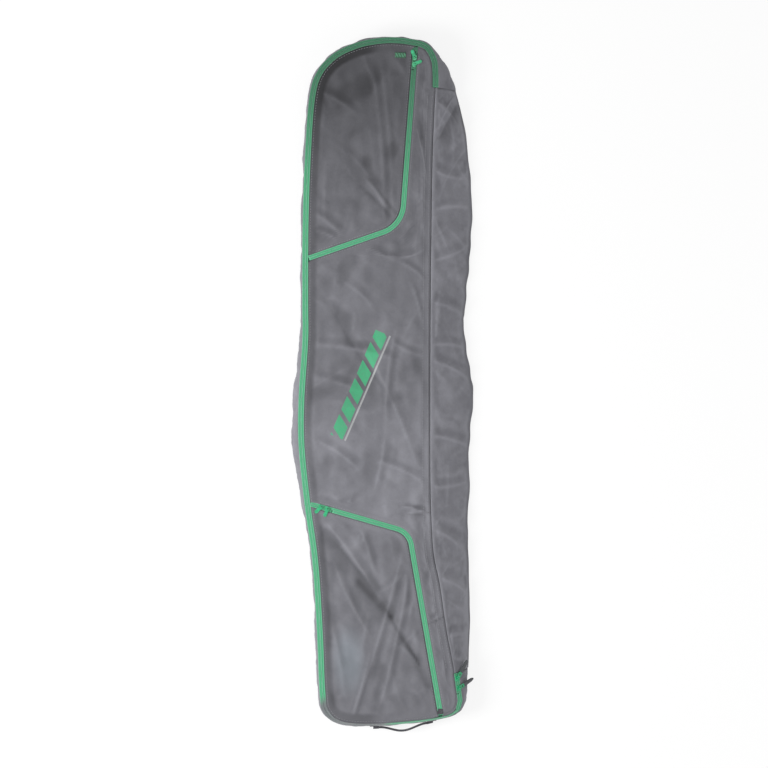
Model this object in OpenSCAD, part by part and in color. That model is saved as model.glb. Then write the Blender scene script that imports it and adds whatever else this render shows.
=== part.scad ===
// Padded snowboard bag lying flat and empty on its back panel.
// Millimetres. +Y points to the nose end, +X to the plain gusset, +Z up off the floor.
// The lid folds back along the plain gusset; two zipped pockets open as corner flaps on it.

/* [Bag] */
// Length of the bag without its haul handle
bag_len = 1650; // [1500:10:1850]
// Width over both gussets as the bag lies
bag_w = 430; // [400:5:480]
// Height of the lid's outer face above the floor
bag_h = 58; // [50:1:80]
// Width of the zip gusset that is folded in under the lid
zip_fold = 85; // [40:5:100]
// Bulge of the zip gusset beyond the main zip
gusset_bulge = 11; // [9:1:20]
// Extra bulge at the middle of the zip gusset
belly = 12; // [0:1:20]

/* [Cloth and foam] */
// Thickness of the outer cloth
cloth_t = 1.5; // [1:0.1:2.5]
// Thickness of the lining
lining_t = 1; // [0.6:0.1:1.5]
// Thickness of the foam in the back
back_foam_t = 5; // [3:0.5:8]
// Thickness of the foam in the lid under the pockets
lid_foam_t = 6; // [3:0.5:8]
// Height left inside each pocket
pocket_h = 6.5; // [5:0.5:8]
// Distance from the main zip to the edge of the foam
foam_inset = 14; // [12:1:25]

/* [Zips] */
// Width of one half of the main zip's tape
main_tape_w = 7; // [6:0.5:9]
// Width of one half of a pocket zip's tape
pocket_tape_w = 6; // [5.5:0.5:8]
// Half of the slot between the two tapes
tape_gap = 1; // [0.9:0.1:1.3]
// Width of one row of coil
coil_w = 2.6; // [2:0.1:3]
// Height of the coil
coil_h = 2.4; // [2:0.1:3]
// Tilt of the main zip along the foot end
foot_tilt = 60; // [0:5:70]
// Tilt of the main zip where its sliders are parked
park_tilt = 35; // [20:5:45]

/* [Sliders and pulls] */
// Length of a main slider
main_slider_l = 14; // [12:1:16]
// Length of a pocket slider
pocket_slider_l = 12; // [10:1:14]
// Running clearance of a slider on its tape and coil
slide_gap = 0.3; // [0.2:0.05:0.4]
// Length of a main pull's metal link
link_l = 17; // [12:1:25]
// Length of a main pull's moulded tab
tab_l = 34; // [25:1:45]
// Length of a pocket pull
pocket_pull_l = 20; // [16:1:28]

/* [Haul handle] */
// Distance between the sewn ends of the handle
handle_span = 116; // [90:2:150]
// How far the handle stands out of the foot end
handle_out = 24; // [18:1:40]
// Width of the handle's webbing
webbing_w = 25; // [20:1:38]
// Thickness of the handle's webbing
webbing_t = 4; // [2:0.5:5]

/* [Hidden] */
$fn = 32;
EPS = 0.01;
FAR = 3000;

// Outline of the bag, as hand-chosen points for a bag 430 wide and 1650 long.
kx = bag_w / 430;
ky = bag_len / 1650;
function fit(points) = [for (p = points) [p[0] * kx, p[1] * ky]];

// Main zip, from its nose end at the plain gusset over the nose and down the zip side to the foot.
main_points = fit([[123, 713], [123, 744], [119, 780], [100, 811], [62, 822], [18, 826], [-28, 822],
    [-68, 812], [-114, 790], [-151, 752], [-170, 698], [-180, 583], [-187, 400], [-188, 205],
    [-188, 110], [-197, -30], [-197, -140], [-183, -280], [-164, -420], [-153, -590],
    [-147, -730], [-138, -778], [-104, -804], [-30, -810], [80, -802], [150, -790], [176, -775]]);
main_park = fit([[182, -752], [173, -686]]);
// Seam between the lid and the plain gusset, from the foot to the nose.
seam_points = fit([[168, -686], [160, -640], [150, -590], [132, -470], [118, -400], [111, -272],
    [110, -60], [111, 205], [114, 480], [118, 620], [123, 713]]);
// Outer edge of the plain gusset on the floor, from the nose to the foot.
edge_points = fit([[173, 711], [187, 660], [201, 580], [212, 440], [211, 370],
    [196, 190], [192, 150], [209, 30], [216, -20], [205, -160], [207, -250], [202, -335],
    [207, -535], [205, -640], [203, -680]]);
// Pocket zips: end at the sliders, corner, far end.
upper_points = fit([[74, 794], [43, 383], [-164, 311]]);
lower_points = fit([[-160, -286], [60, -349], [133, -770]]);
upper_r = 74;
lower_r = 48;

// Heights.
lid_top = bag_h;
cloth_z = lid_top - cloth_t;
backing_z = cloth_z - pocket_h - lining_t;
foam_z = backing_z - lid_foam_t;
lining_z = foam_z - lining_t;
hinge_z = lid_top + 0.2;
floor_top = cloth_t + back_foam_t + lining_t;
gusset_t = cloth_t + lining_t;
SEAM_GAP = 0.3;
foot_tuck = 6;
nose_flare = 41;
park_flare = 18;
FOLD_GAP = 0.2;
LID_GAP = 0.5;
PATCH_GAP = 0.8;
EDGE_GAP = 1.3;
COIL_GAP = 0.1;
COIL_CLEAR = 5;
HINGE_OUT = 3.5;
FLOOR_INSET = 18;
// Share of the height where the zip gusset's wall starts and stops standing upright, on a plain
// stretch and where the wall flares out.
WALL_LOW = [0.3, 0.1];
WALL_HIGH = [0.65, 0.3];
// Distance from the foot of the zip gusset's wall to where it lies on the floor.
FLOOR_TURN = 5;
// Extra length of a cutting shape on each side.
CUT = 1;
tape_t = 1;
coil_top = tape_t + COIL_GAP;

// Places of the sliders, as distances from the parked end of each zip.
end_margin = 6;
main_at_a = 13;
main_at_b = 36;
pocket_at_a = 10;
pocket_at_b = 26;
flap_start = pocket_at_b + pocket_slider_l / 2 + 6;
lid_fixed = main_at_b + main_slider_l / 2 + 6;

// Vector helpers for flat paths.
function tangent(P, i) =
    let (a = P[max(i - 1, 0)], b = P[min(i + 1, len(P) - 1)], d = b - a) d / norm(d);
function normal(P, i) = let (t = tangent(P, i)) [t[1], -t[0]];
function offset_path(P, u) = [for (i = [0:len(P) - 1]) P[i] + normal(P, i) * u];
// Path moved inwards by d[i] at point i, without the points that a tight corner would cross over.
function inset_path(P, d) = [for (i = [0:len(P) - 1])
    let (q = P[i] - normal(P, i) * d[i], near = min([for (p = P) norm(p - q)]))
    if (near > d[i] - 1) q];
function reversed(P) = [for (i = [len(P) - 1:-1:0]) P[i]];
// Catmull-Rom curve through P, with n steps to each span.
function spline(P, n) = concat([for (i = [0:len(P) - 2], k = [0:n - 1])
    let (t = k / n, a = P[max(i - 1, 0)], b = P[i], c = P[i + 1], d = P[min(i + 2, len(P) - 1)])
    0.5 * (2 * b + (c - a) * t + (2 * a - 5 * b + 4 * c - d) * t * t
        + (3 * b - a - 3 * c + d) * t * t * t)], [P[len(P) - 1]]);
// Path of two straight lines with one round corner of radius r.
function bent(P, r, n = 10) =
    let (a = (P[0] - P[1]) / norm(P[0] - P[1]), b = (P[2] - P[1]) / norm(P[2] - P[1]),
        half = acos(a * b) / 2, reach = r / tan(half),
        centre = P[1] + (a + b) / norm(a + b) * r / sin(half),
        from = P[1] + a * reach - centre, to = P[1] + b * reach - centre,
        a0 = atan2(from[1], from[0]), turn = 180 - 2 * half,
        side = from[0] * to[1] - from[1] * to[0] > 0 ? 1 : -1)
    concat([P[0]], [for (k = [0:n]) let (q = a0 + side * turn * k / n)
        centre + r * [cos(q), sin(q)]], [P[2]]);
// Point at distance s along the first or last straight span.
function along_first(P, s) = P[0] + (P[1] - P[0]) / norm(P[1] - P[0]) * s;
function along_last(P, s) =
    let (n = len(P)) P[n - 1] + (P[n - 2] - P[n - 1]) / norm(P[n - 2] - P[n - 1]) * s;
// Path with its two ends cut back by s and e, without the points nearer to them than that.
function trimmed(P, s, e) =
    concat([along_first(P, s)], [for (i = [1:len(P) - 2])
        if (norm(P[i] - P[0]) > s + 1 && norm(P[i] - P[len(P) - 1]) > e + 1) P[i]],
        [along_last(P, e)]);
function smooth01(x) = let (t = min(1, max(0, x))) t * t * (3 - 2 * t);

main_path = concat(spline(main_points, 4), main_park);
upper_path = bent(upper_points, upper_r);
lower_path = bent(lower_points, lower_r);
seam = spline(seam_points, 3);
edge = spline(edge_points, 8);

// Tilt of the main zip: flat along the zip side and the nose, turned outwards at the foot.
function tilt(P, i) =
    let (n = normal(P, i))
    P[i][1] > 0 ? 0 : foot_tilt * pow(max(0, -n[1]), 2) + park_tilt * max(0, n[0]);
function tilts(P) = [for (i = [0:len(P) - 1]) tilt(P, i)];
function flats(P) = [for (p = P) 0];
main_tilts = tilts(main_path);
main_coil_path = trimmed(main_path, end_margin, end_margin);
main_coil_tilts = tilts(main_coil_path);

// Width of the zip gusset that lies on the floor, at point i of the main zip.
function fold_in(i) =
    let (n = normal(main_path, i), y = main_path[i][1] / ky)
    8 + zip_fold * pow(max(0, -n[0]), 4) * smooth01((690 - y) / 160) * smooth01((y + 720) / 160);
function bulge(i) =
    let (n = normal(main_path, i), y = main_path[i][1] / ky)
    gusset_bulge + belly * pow(max(0, -n[0]), 4) * exp(-pow((y + 90) / 170, 2))
        - foot_tuck * pow(max(0, -n[1]), 2)
        + pow(max(0, n[0]), 2) * (y > 0 ? nose_flare * smooth01(1 - (y - 713) / 100)
            : park_flare * smooth01(1 + (y + 686) / 90));

// Solid carried through a list of rings, each ring a closed loop of points.
module skin(rings) {
    n = len(rings);
    m = len(rings[0]);
    sides = [for (i = [0:n - 2], j = [0:m - 1])
        [i * m + j, i * m + (j + 1) % m, (i + 1) * m + (j + 1) % m, (i + 1) * m + j]];
    ends = [[for (j = [m - 1:-1:0]) j], [for (j = [0:m - 1]) (n - 1) * m + j]];
    polyhedron([for (r = rings, p = r) p], concat(sides, ends), convexity = 8);
}
// Flat band along path P between offsets u0 and u1, from w0 to w1 above the tape's face.
// The face lies at the lid's height at offset -edge_u and turns down by each point's tilt.
module band(P, tilts, edge_u, u0, u1, w0, w1) {
    skin([for (i = [0:len(P) - 1])
        let (n = normal(P, i), c = cos(tilts[i]), s = sin(tilts[i]), z0 = lid_top - edge_u * s)
        [for (q = [[u0, w0], [u1, w0], [u1, w1], [u0, w1]])
            let (o = q[0] * c + q[1] * s, p = P[i] + n * o) [p[0], p[1], z0 - q[0] * s + q[1] * c]]]);
}
module prism(points, z0, z1) { translate([0, 0, z0]) linear_extrude(z1 - z0) polygon(points); }
// Everything on the left-hand side of a fold line, moved by gap to that side.
module beyond(fold, gap) {
    d = (fold[1] - fold[0]) / norm(fold[1] - fold[0]);
    q = fold[0] + [-d[1], d[0]] * gap;
    translate([q[0], q[1], 0]) rotate([0, 0, atan2(d[1], d[0])])
        translate([-FAR, 0, -FAR]) cube([2 * FAR, FAR, 2 * FAR]);
}

// Areas of the lid and the pockets.
function lid_edge(inset) = concat(
    inset_path(main_path, [for (t = main_tilts) main_tape_w * cos(t) + tape_t * sin(t) + inset]),
    [for (p = seam) p - [SEAM_GAP + inset, 0]]);
module upper_zone(u, z0, z1) {
    a = offset_path(upper_path, u);
    prism(concat([[a[0][0], FAR]], a, [[-FAR, a[len(a) - 1][1]], [-FAR, FAR]]), z0, z1);
}
module lower_zone(u, z0, z1) {
    a = offset_path(lower_path, u);
    prism(concat([[-FAR, a[0][1]]], a, [[a[len(a) - 1][0], -FAR], [-FAR, -FAR]]), z0, z1);
}
upper_fold = [along_first(upper_path, flap_start), upper_path[len(upper_path) - 1]];
lower_fold = [along_first(lower_path, flap_start), lower_path[len(lower_path) - 1]];

// Base.
module back_panel() {
    color("#62626a") prism(inner_floor(0), 0, cloth_t);
}
function inner_floor(inset) = concat(
    inset_path(main_path, [for (i = [0:len(main_path) - 1]) fold_in(i) + SEAM_GAP + inset]),
    reversed([for (p = edge) p - [2 * cloth_t + EDGE_GAP + inset, 0]]));
module back_padding() {
    color("#c9c9c4") prism(inner_floor(FLOOR_INSET), cloth_t, cloth_t + back_foam_t);
}
module back_lining() {
    color("#3f4145") prism(inner_floor(FLOOR_INSET), cloth_t + back_foam_t, floor_top);
}
module zip_gusset() {
    color("#6d6d73") skin([for (i = [0:len(main_path) - 1])
        let (n = normal(main_path, i), p = main_path[i], b = bulge(i), d = fold_in(i),
            top_u = main_tape_w * cos(main_tilts[i]) + SEAM_GAP,
            top_z = lid_top - 2 * main_tape_w * sin(main_tilts[i]),
            flare = smooth01((b - 16) / 16),
            low = (WALL_LOW[0] + (WALL_LOW[1] - WALL_LOW[0]) * flare) * top_z,
            high = (WALL_HIGH[0] + (WALL_HIGH[1] - WALL_HIGH[0]) * flare) * top_z,
            loop = [[-d, 0], [b - FLOOR_TURN, 0], [b, low], [b, high],
                [top_u + cloth_t, top_z], [top_u, top_z], [b - gusset_t, high - 1],
                [b - gusset_t, low + 1], [b - FLOOR_TURN - 2, gusset_t], [-d, gusset_t]])
        [for (q = loop) [p[0] + n[0] * q[0], p[1] + n[1] * q[0], q[1]]]]);
}
// The plain gusset slopes from the lid seam down to the floor.
module plain_gusset() {
    steps = 40;
    s = spline(reversed(seam_points), 8);
    color("#6d6d73") skin([for (k = [0:steps])
        let (a = s[round(k / steps * (len(s) - 1))] + [SEAM_GAP, 0],
            b = edge[round(k / steps * (len(edge) - 1))], m = a + (b - a) * 0.6)
        [[a[0], a[1], lid_top], [m[0] + cloth_t, m[1], 0.66 * lid_top], [b[0], b[1], 0],
            [b[0] - cloth_t, b[1], 0], [m[0] - cloth_t, m[1], 0.62 * lid_top],
            [a[0], a[1], lid_top - cloth_t]]]);
}
module main_zip_tape_base() {
    color("#2fae6b") band(main_path, main_tilts, main_tape_w, tape_gap, main_tape_w, -tape_t, 0);
    color("#2fae6b") parked_lid_band(tape_gap, main_tape_w, -tape_t, 0);
}
// The last stretch of the lid's half of the zip, which stays with the parked sliders.
module parked_lid_band(u0, u1, w0, w1, e = 0) {
    P = [along_last(main_path, lid_fixed), along_last(main_path, e)];
    band(P, [tilt(P, 1), tilt(P, 1)], main_tape_w, -u1, -u0, w0, w1);
}
module main_zip_coil_base() {
    color("#35b873") band(main_coil_path, main_coil_tilts, main_tape_w,
        tape_gap, tape_gap + coil_w, -coil_top - coil_h, -coil_top);
    color("#35b873") parked_lid_band(tape_gap, tape_gap + coil_w, -coil_top - coil_h, -coil_top,
        end_margin);
}
// Small blocks that close each end of a chain, under the tape.
module stop_at(p, dir, slope, edge_u, half_w, h) {
    on_zip(p, dir, slope, edge_u) translate([-half_w, -1.5, -tape_t - h]) cube([2 * half_w, 3, h]);
}
// Puts its children on a zip's face: x across the zip, y along it, z up from the tape.
module on_zip(p, dir, slope, edge_u) {
    translate([p[0], p[1], lid_top - edge_u * sin(slope)])
        rotate([0, 0, atan2(-dir[0], dir[1])]) rotate([0, slope, 0]) children();
}
park_dir = (main_park[1] - main_park[0]) / norm(main_park[1] - main_park[0]);
park_slope = park_tilt * park_dir[1];
upper_dir = (upper_points[1] - upper_points[0]) / norm(upper_points[1] - upper_points[0]);
lower_dir = (lower_points[1] - lower_points[0]) / norm(lower_points[1] - lower_points[0]);
module main_zip_stops() {
    color("#2a9d60") stop_at(main_path[0] + [0, 3], [0, 1], 0, main_tape_w, 3, coil_h);
    color("#2a9d60") stop_at(along_last(main_path, 3), park_dir, park_slope, main_tape_w, 3, coil_h);
}

// Haul handle: a strap folded to a soft tube, sewn down at both ends on the foot wall.
foot_table = [for (p = main_path) if (p[1] < -770 * ky) p];
foot_wall = gusset_bulge - foot_tuck;
handle_x = 46 * kx;
handle_z = 20.5;
strap_h = webbing_w / 2;
strap_off = strap_h / 2 + 1.3;
function foot_y(x) = lookup(x, foot_table) - foot_wall;
module handle_anchor(x0, x1, stub0, stub1) {
    y0 = foot_y(x0);
    y1 = foot_y(x1);
    prism([[x0, y0 - PATCH_GAP], [x0, y0 - 3], [x1, y1 - 3], [x1, y1 - PATCH_GAP]],
        handle_z - webbing_w / 2, handle_z + webbing_w / 2);
    prism([[stub0, y0 - 2], [stub0, y0 - strap_off - webbing_t / 2],
        [stub1, y1 - strap_off - webbing_t / 2], [stub1, y1 - 2]],
        handle_z - strap_h / 2, handle_z + strap_h / 2);
}
module handle_anchors() {
    a = handle_x - handle_span / 2;
    b = handle_x + handle_span / 2;
    color("#3d3d42") handle_anchor(a - 22, a, a - 14, a);
    color("#3d3d42") handle_anchor(b, b + 22, b, b + 14);
}
module haul_handle() {
    steps = 24;
    a = [handle_x - handle_span / 2 + PATCH_GAP, foot_y(handle_x - handle_span / 2) - strap_off];
    b = [handle_x + handle_span / 2 - PATCH_GAP, foot_y(handle_x + handle_span / 2) - strap_off];
    n = normal([a, b], 0);
    reach = handle_out - strap_off - webbing_t / 2;
    line = [for (k = [0:steps]) let (t = k / steps)
        a + (b - a) * t + n * reach * 0.5 * (1 - cos(360 * t))];
    color("#3d3d42") skin([for (i = [0:steps]) let (m = normal(line, i))
        [for (q = [[-1, -0.7], [-0.6, -1], [0.6, -1], [1, -0.7], [1, 0.7], [0.6, 1], [-0.6, 1], [-1, 0.7]])
            [line[i][0] + m[0] * q[0] * webbing_t / 2, line[i][1] + m[1] * q[0] * webbing_t / 2,
                handle_z + q[1] * strap_h / 2]]]);
}

// Lid.
module main_zip_tape_lid() {
    P = trimmed(main_path, 0, lid_fixed + FOLD_GAP);
    color("#2fae6b") band(P, tilts(P), main_tape_w, -main_tape_w, -tape_gap, -tape_t, 0);
}
module main_zip_coil_lid() {
    P = trimmed(main_path, end_margin, lid_fixed + FOLD_GAP);
    color("#35b873") band(P, tilts(P), main_tape_w, -tape_gap - coil_w, -tape_gap,
        -coil_top - coil_h, -coil_top);
}
module lid_panel() {
    color("#707076") difference() {
        prism(lid_edge(LID_GAP), cloth_z, lid_top);
        upper_zone(-pocket_tape_w, cloth_z - CUT, lid_top + CUT);
        lower_zone(-pocket_tape_w, cloth_z - CUT, lid_top + CUT);
    }
}
module lid_padding() {
    color("#c9c9c4") prism(lid_edge(foam_inset), foam_z, backing_z);
}
// Second layer of foam between the pockets.
module lid_upper_padding() {
    color("#c9c9c4") difference() {
        prism(lid_edge(foam_inset), backing_z, cloth_z);
        upper_zone(-pocket_tape_w, backing_z - CUT, cloth_z + CUT);
        lower_zone(-pocket_tape_w, backing_z - CUT, cloth_z + CUT);
    }
}
module lid_lining() {
    color("#3f4145") prism(lid_edge(foam_inset), lining_z, foam_z);
}
module upper_pocket_panel() {
    color("#6b6b71") difference() {
        intersection() {
            prism(lid_edge(LID_GAP), cloth_z, lid_top);
            upper_zone(pocket_tape_w, cloth_z - CUT, lid_top + CUT);
        }
        beyond(upper_fold, -FOLD_GAP);
    }
}
module lower_pocket_panel() {
    color("#6b6b71") difference() {
        intersection() {
            prism(lid_edge(LID_GAP), cloth_z, lid_top);
            lower_zone(pocket_tape_w, cloth_z - CUT, lid_top + CUT);
        }
        beyond(lower_fold, -FOLD_GAP);
    }
}
module upper_pocket_backing() {
    color("#3f4145") intersection() {
        prism(lid_edge(foam_inset + 0.5), backing_z, backing_z + lining_t);
        upper_zone(-pocket_tape_w + 0.5, 0, FAR);
    }
}
module lower_pocket_backing() {
    color("#3f4145") intersection() {
        prism(lid_edge(foam_inset + 0.5), backing_z, backing_z + lining_t);
        lower_zone(-pocket_tape_w + 0.5, 0, FAR);
    }
}
// Tapes and coils of a pocket zip. Offsets under 0 are the lid's half, above 0 the pocket's.
module lid_half(P, u, w0, w1) { band(P, flats(P), 0, -u, -tape_gap, w0, w1); }
module pocket_half(P, u, w0, w1) { band(P, flats(P), 0, tape_gap, u, w0, w1); }
module zip_tape_fixed(P, fold) {
    color("#2fae6b") lid_half(P, pocket_tape_w, -tape_t, 0);
    color("#2fae6b") difference() {
        pocket_half(P, pocket_tape_w, -tape_t, 0);
        beyond(fold, -FOLD_GAP);
    }
}
module zip_coil_fixed(P, fold) {
    Q = trimmed(P, end_margin, end_margin);
    color("#35b873") lid_half(Q, tape_gap + coil_w, -coil_top - coil_h, -coil_top);
    color("#35b873") difference() {
        pocket_half(Q, tape_gap + coil_w, -coil_top - coil_h, -coil_top);
        beyond(fold, -FOLD_GAP);
    }
}
module zip_stops(P, dir, far_dir) {
    color("#2a9d60") stop_at(P[0] + dir * 3, dir, 0, 0, 3, coil_h);
    color("#2a9d60") stop_at(P[len(P) - 1] - far_dir * 3, far_dir, 0, 0, 3, coil_h);
}
module upper_zip_tape_fixed() { zip_tape_fixed(upper_path, upper_fold); }
module upper_zip_coil_fixed() { zip_coil_fixed(upper_path, upper_fold); }
module lower_zip_tape_fixed() { zip_tape_fixed(lower_path, lower_fold); }
module lower_zip_coil_fixed() { zip_coil_fixed(lower_path, lower_fold); }
module upper_zip_stops() {
    d = upper_points[2] - upper_points[1];
    zip_stops(upper_path, upper_dir, d / norm(d));
}
module lower_zip_stops() {
    d = lower_points[2] - lower_points[1];
    zip_stops(lower_path, lower_dir, d / norm(d));
}
module lower_zip_tab() {
    d = (lower_points[2] - lower_points[1]) / norm(lower_points[2] - lower_points[1]);
    color("#55555b") on_zip(lower_points[2], d, 0, 0) translate([-6, 0.5, 0]) cube([12, 13, 1]);
}
module woven_label() {
    color("#4c8f5c") translate([26, 783 * ky, lid_top]) cube([26, 14, 0.8]);
}

// Pocket flaps.
module upper_pocket_flap() {
    color("#6b6b71") intersection() {
        prism(concat(offset_path(upper_path, pocket_tape_w), [upper_fold[0] - [FAR, 0]]),
            cloth_z, lid_top);
        beyond(upper_fold, FOLD_GAP);
    }
}
module lower_pocket_flap() {
    color("#6b6b71") intersection() {
        prism(concat(offset_path(lower_path, pocket_tape_w), [lower_fold[1] - [FAR, 0]]),
            cloth_z, lid_top);
        beyond(lower_fold, FOLD_GAP);
    }
}
module flap_tape(P, fold) {
    color("#2fae6b") intersection() {
        pocket_half(P, pocket_tape_w, -tape_t, 0);
        beyond(fold, FOLD_GAP);
    }
}
module flap_coil(P, fold) {
    color("#35b873") intersection() {
        pocket_half(trimmed(P, end_margin, end_margin), tape_gap + coil_w,
            -coil_top - coil_h, -coil_top);
        beyond(fold, COIL_CLEAR);
    }
}
module upper_zip_tape_flap() { flap_tape(upper_path, upper_fold); }
module upper_zip_coil_flap() { flap_coil(upper_path, upper_fold); }
module lower_zip_tape_flap() { flap_tape(lower_path, lower_fold); }
module lower_zip_coil_flap() { flap_coil(lower_path, lower_fold); }

// Sliders. The pull hangs from a bail whose plane is turned by yaw.
plate_t = 1.4;
bail_r = 2.8;
bail_t = 1.6;
bail_hole_r = 1.15;
bar_r = 0.8;
pull_t = 1.8;
bail_z = slide_gap + plate_t + 1.9;
main_slider_w = 12;
pocket_slider_w = 10;
module plate(w, l, z0) {
    translate([0, 0, z0]) linear_extrude(plate_t) polygon([[-w / 2 + 2, -l / 2], [w / 2 - 2, -l / 2],
        [w / 2, -l / 2 + 2], [w / 2, l / 2 - 4], [w / 2 - 2.5, l / 2], [-w / 2 + 2.5, l / 2],
        [-w / 2, l / 2 - 4], [-w / 2, -l / 2 + 2]]);
}
module slider(w, l, yaw) {
    under = -coil_top - coil_h - slide_gap;
    plate(w, l, slide_gap);
    plate(w, l, under - plate_t);
    post = tape_gap - slide_gap;
    translate([-post, -1.5, under - EPS]) cube([2 * post, 3, slide_gap - under + 2 * EPS]);
    flange = tape_gap + coil_w + slide_gap;
    for (side = [0, 180]) rotate([0, 0, side])
        translate([flange, -l / 2 + 2.5, under - EPS])
            cube([w / 2 - flange, l - 7, -tape_t - slide_gap - under + EPS]);
    rotate([0, 0, yaw]) difference() {
        translate([0, 0, bail_z]) rotate([90, 0, 0]) cylinder(h = bail_t, r = bail_r, center = true);
        translate([0, 0, bail_z]) rotate([90, 0, 0])
            cylinder(h = 2 * bail_t, r = bail_hole_r, center = true);
        translate([-5, -5, -10]) cube([10, 10, 10 + slide_gap + EPS]);
    }
}
// Ring end of a pull: a bar through the bail and two arms round it. Pull points along +x.
module pull_fork(w, t) {
    rotate([90, 0, 0]) cylinder(h = w, r = bar_r, center = true);
    arm = bail_t / 2 + 0.5;
    for (side = [-1, 1]) translate([-bar_r, side > 0 ? arm : -w / 2, -bar_r])
        cube([bail_r + 3, w / 2 - arm, 2 * bar_r]);
    translate([bail_r + 0.6, -w / 2, -t / 2]) cube([2.4, w, t]);
}
module pocket_pull() {
    w = 8;
    pull_fork(w, pull_t);
    translate([bail_r + 2, 0, -pull_t / 2]) linear_extrude(pull_t) {
        translate([0, -w / 2]) square([pocket_pull_l - bail_r - 2 - w / 2, w]);
        translate([pocket_pull_l - bail_r - 2 - w / 2, 0]) circle(r = w / 2);
    }
}
module main_link() {
    w = 8;
    pull_fork(w, pull_t);
    difference() {
        translate([bail_r + 2, -w / 2, -pull_t / 2]) cube([link_l - bail_r - 2, w, pull_t]);
        translate([bail_r + 5, -w / 4, -pull_t]) cube([link_l - bail_r - 9, w / 2, 2 * pull_t]);
    }
}
module main_tab() {
    w = 9;
    t = 4;
    translate([link_l, 0, -t / 2]) linear_extrude(t) polygon([[0, -w / 2], [tab_l - 8, -w / 2 + 0.8],
        [tab_l - 2, -w / 4], [tab_l, 0], [tab_l - 2, w / 4], [tab_l - 8, w / 2 - 0.8], [0, w / 2]]);
}
// Puts a pull on its slider, turned by yaw and drooping to the cloth.
module hung(yaw, droop) {
    translate([0, 0, bail_z]) rotate([0, 0, yaw]) rotate([0, droop, 0]) children();
}
module on_main(s) { on_zip(along_last(main_path, s), park_dir, park_slope, main_tape_w) children(); }
module on_upper(s) { on_zip(along_first(upper_path, s), upper_dir, 0, 0) children(); }
module on_lower(s) { on_zip(along_first(lower_path, s), lower_dir, 0, 0) children(); }
main_yaw_a = 48;
main_yaw_b = 16;
main_droop_a = 0;
main_droop_b = 6;
pocket_droop = asin((bail_z - pull_t / 2 - SEAM_GAP) / pocket_pull_l);
upper_yaw_a = -65;
upper_yaw_b = -150;
lower_yaw_a = -30;
lower_yaw_b = -6;
module main_slider(s, yaw) { color("#35b873") on_main(s) slider(main_slider_w, main_slider_l, yaw); }
module upper_slider(s, yaw) { color("#21b26d") on_upper(s) slider(pocket_slider_w, pocket_slider_l, yaw); }
module lower_slider(s, yaw) { color("#21b26d") on_lower(s) slider(pocket_slider_w, pocket_slider_l, yaw); }
module main_slider_a() { main_slider(main_at_a, main_yaw_a); }
module main_slider_b() { main_slider(main_at_b, main_yaw_b); }
module upper_slider_a() { upper_slider(pocket_at_a, upper_yaw_a); }
module upper_slider_b() { upper_slider(pocket_at_b, upper_yaw_b); }
module lower_slider_a() { lower_slider(pocket_at_a, lower_yaw_a); }
module lower_slider_b() { lower_slider(pocket_at_b, lower_yaw_b); }
module main_link_a() { color("#35b873") on_main(main_at_a) hung(main_yaw_a, main_droop_a) main_link(); }
module main_link_b() { color("#35b873") on_main(main_at_b) hung(main_yaw_b, main_droop_b) main_link(); }
module main_tab_a() { color("#4a4d50") on_main(main_at_a) hung(main_yaw_a, main_droop_a) main_tab(); }
module main_tab_b() { color("#4a4d50") on_main(main_at_b) hung(main_yaw_b, main_droop_b) main_tab(); }
module upper_pull(s, yaw) { color("#14b76a") on_upper(s) hung(yaw, pocket_droop) pocket_pull(); }
module lower_pull(s, yaw) { color("#14b76a") on_lower(s) hung(yaw, pocket_droop) pocket_pull(); }
module upper_pull_a() { upper_pull(pocket_at_a, upper_yaw_a); }
module upper_pull_b() { upper_pull(pocket_at_b, upper_yaw_b); }
module lower_pull_a() { lower_pull(pocket_at_a, lower_yaw_a); }
module lower_pull_b() { lower_pull(pocket_at_b, lower_yaw_b); }

back_panel();
back_padding();
back_lining();
zip_gusset();
plain_gusset();
main_zip_tape_base();
main_zip_coil_base();
main_zip_stops();
handle_anchors();
lid_panel();
lid_padding();
lid_upper_padding();
lid_lining();
main_zip_tape_lid();
main_zip_coil_lid();
upper_pocket_panel();
upper_pocket_backing();
upper_zip_tape_fixed();
upper_zip_coil_fixed();
upper_zip_stops();
lower_pocket_panel();
lower_pocket_backing();
lower_zip_tape_fixed();
lower_zip_coil_fixed();
lower_zip_stops();
lower_zip_tab();
woven_label();
upper_pocket_flap();
upper_zip_tape_flap();
upper_zip_coil_flap();
lower_pocket_flap();
lower_zip_tape_flap();
lower_zip_coil_flap();
main_slider_a();
main_slider_b();
upper_slider_a();
upper_slider_b();
lower_slider_a();
lower_slider_b();
main_link_a();
main_link_b();
main_tab_a();
main_tab_b();
upper_pull_a();
upper_pull_b();
lower_pull_a();
lower_pull_b();
haul_handle();
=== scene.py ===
"""Padded snowboard bag, lying flat and empty on its back.

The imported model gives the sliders, pulls, stops and handle patches. Every soft piece is made
here: cloth as surfaces worked out with numpy, zips as profiles carried along their paths.
Shapes are in millimetres in the frame of the part, and become metres in mesh().
"""

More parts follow.
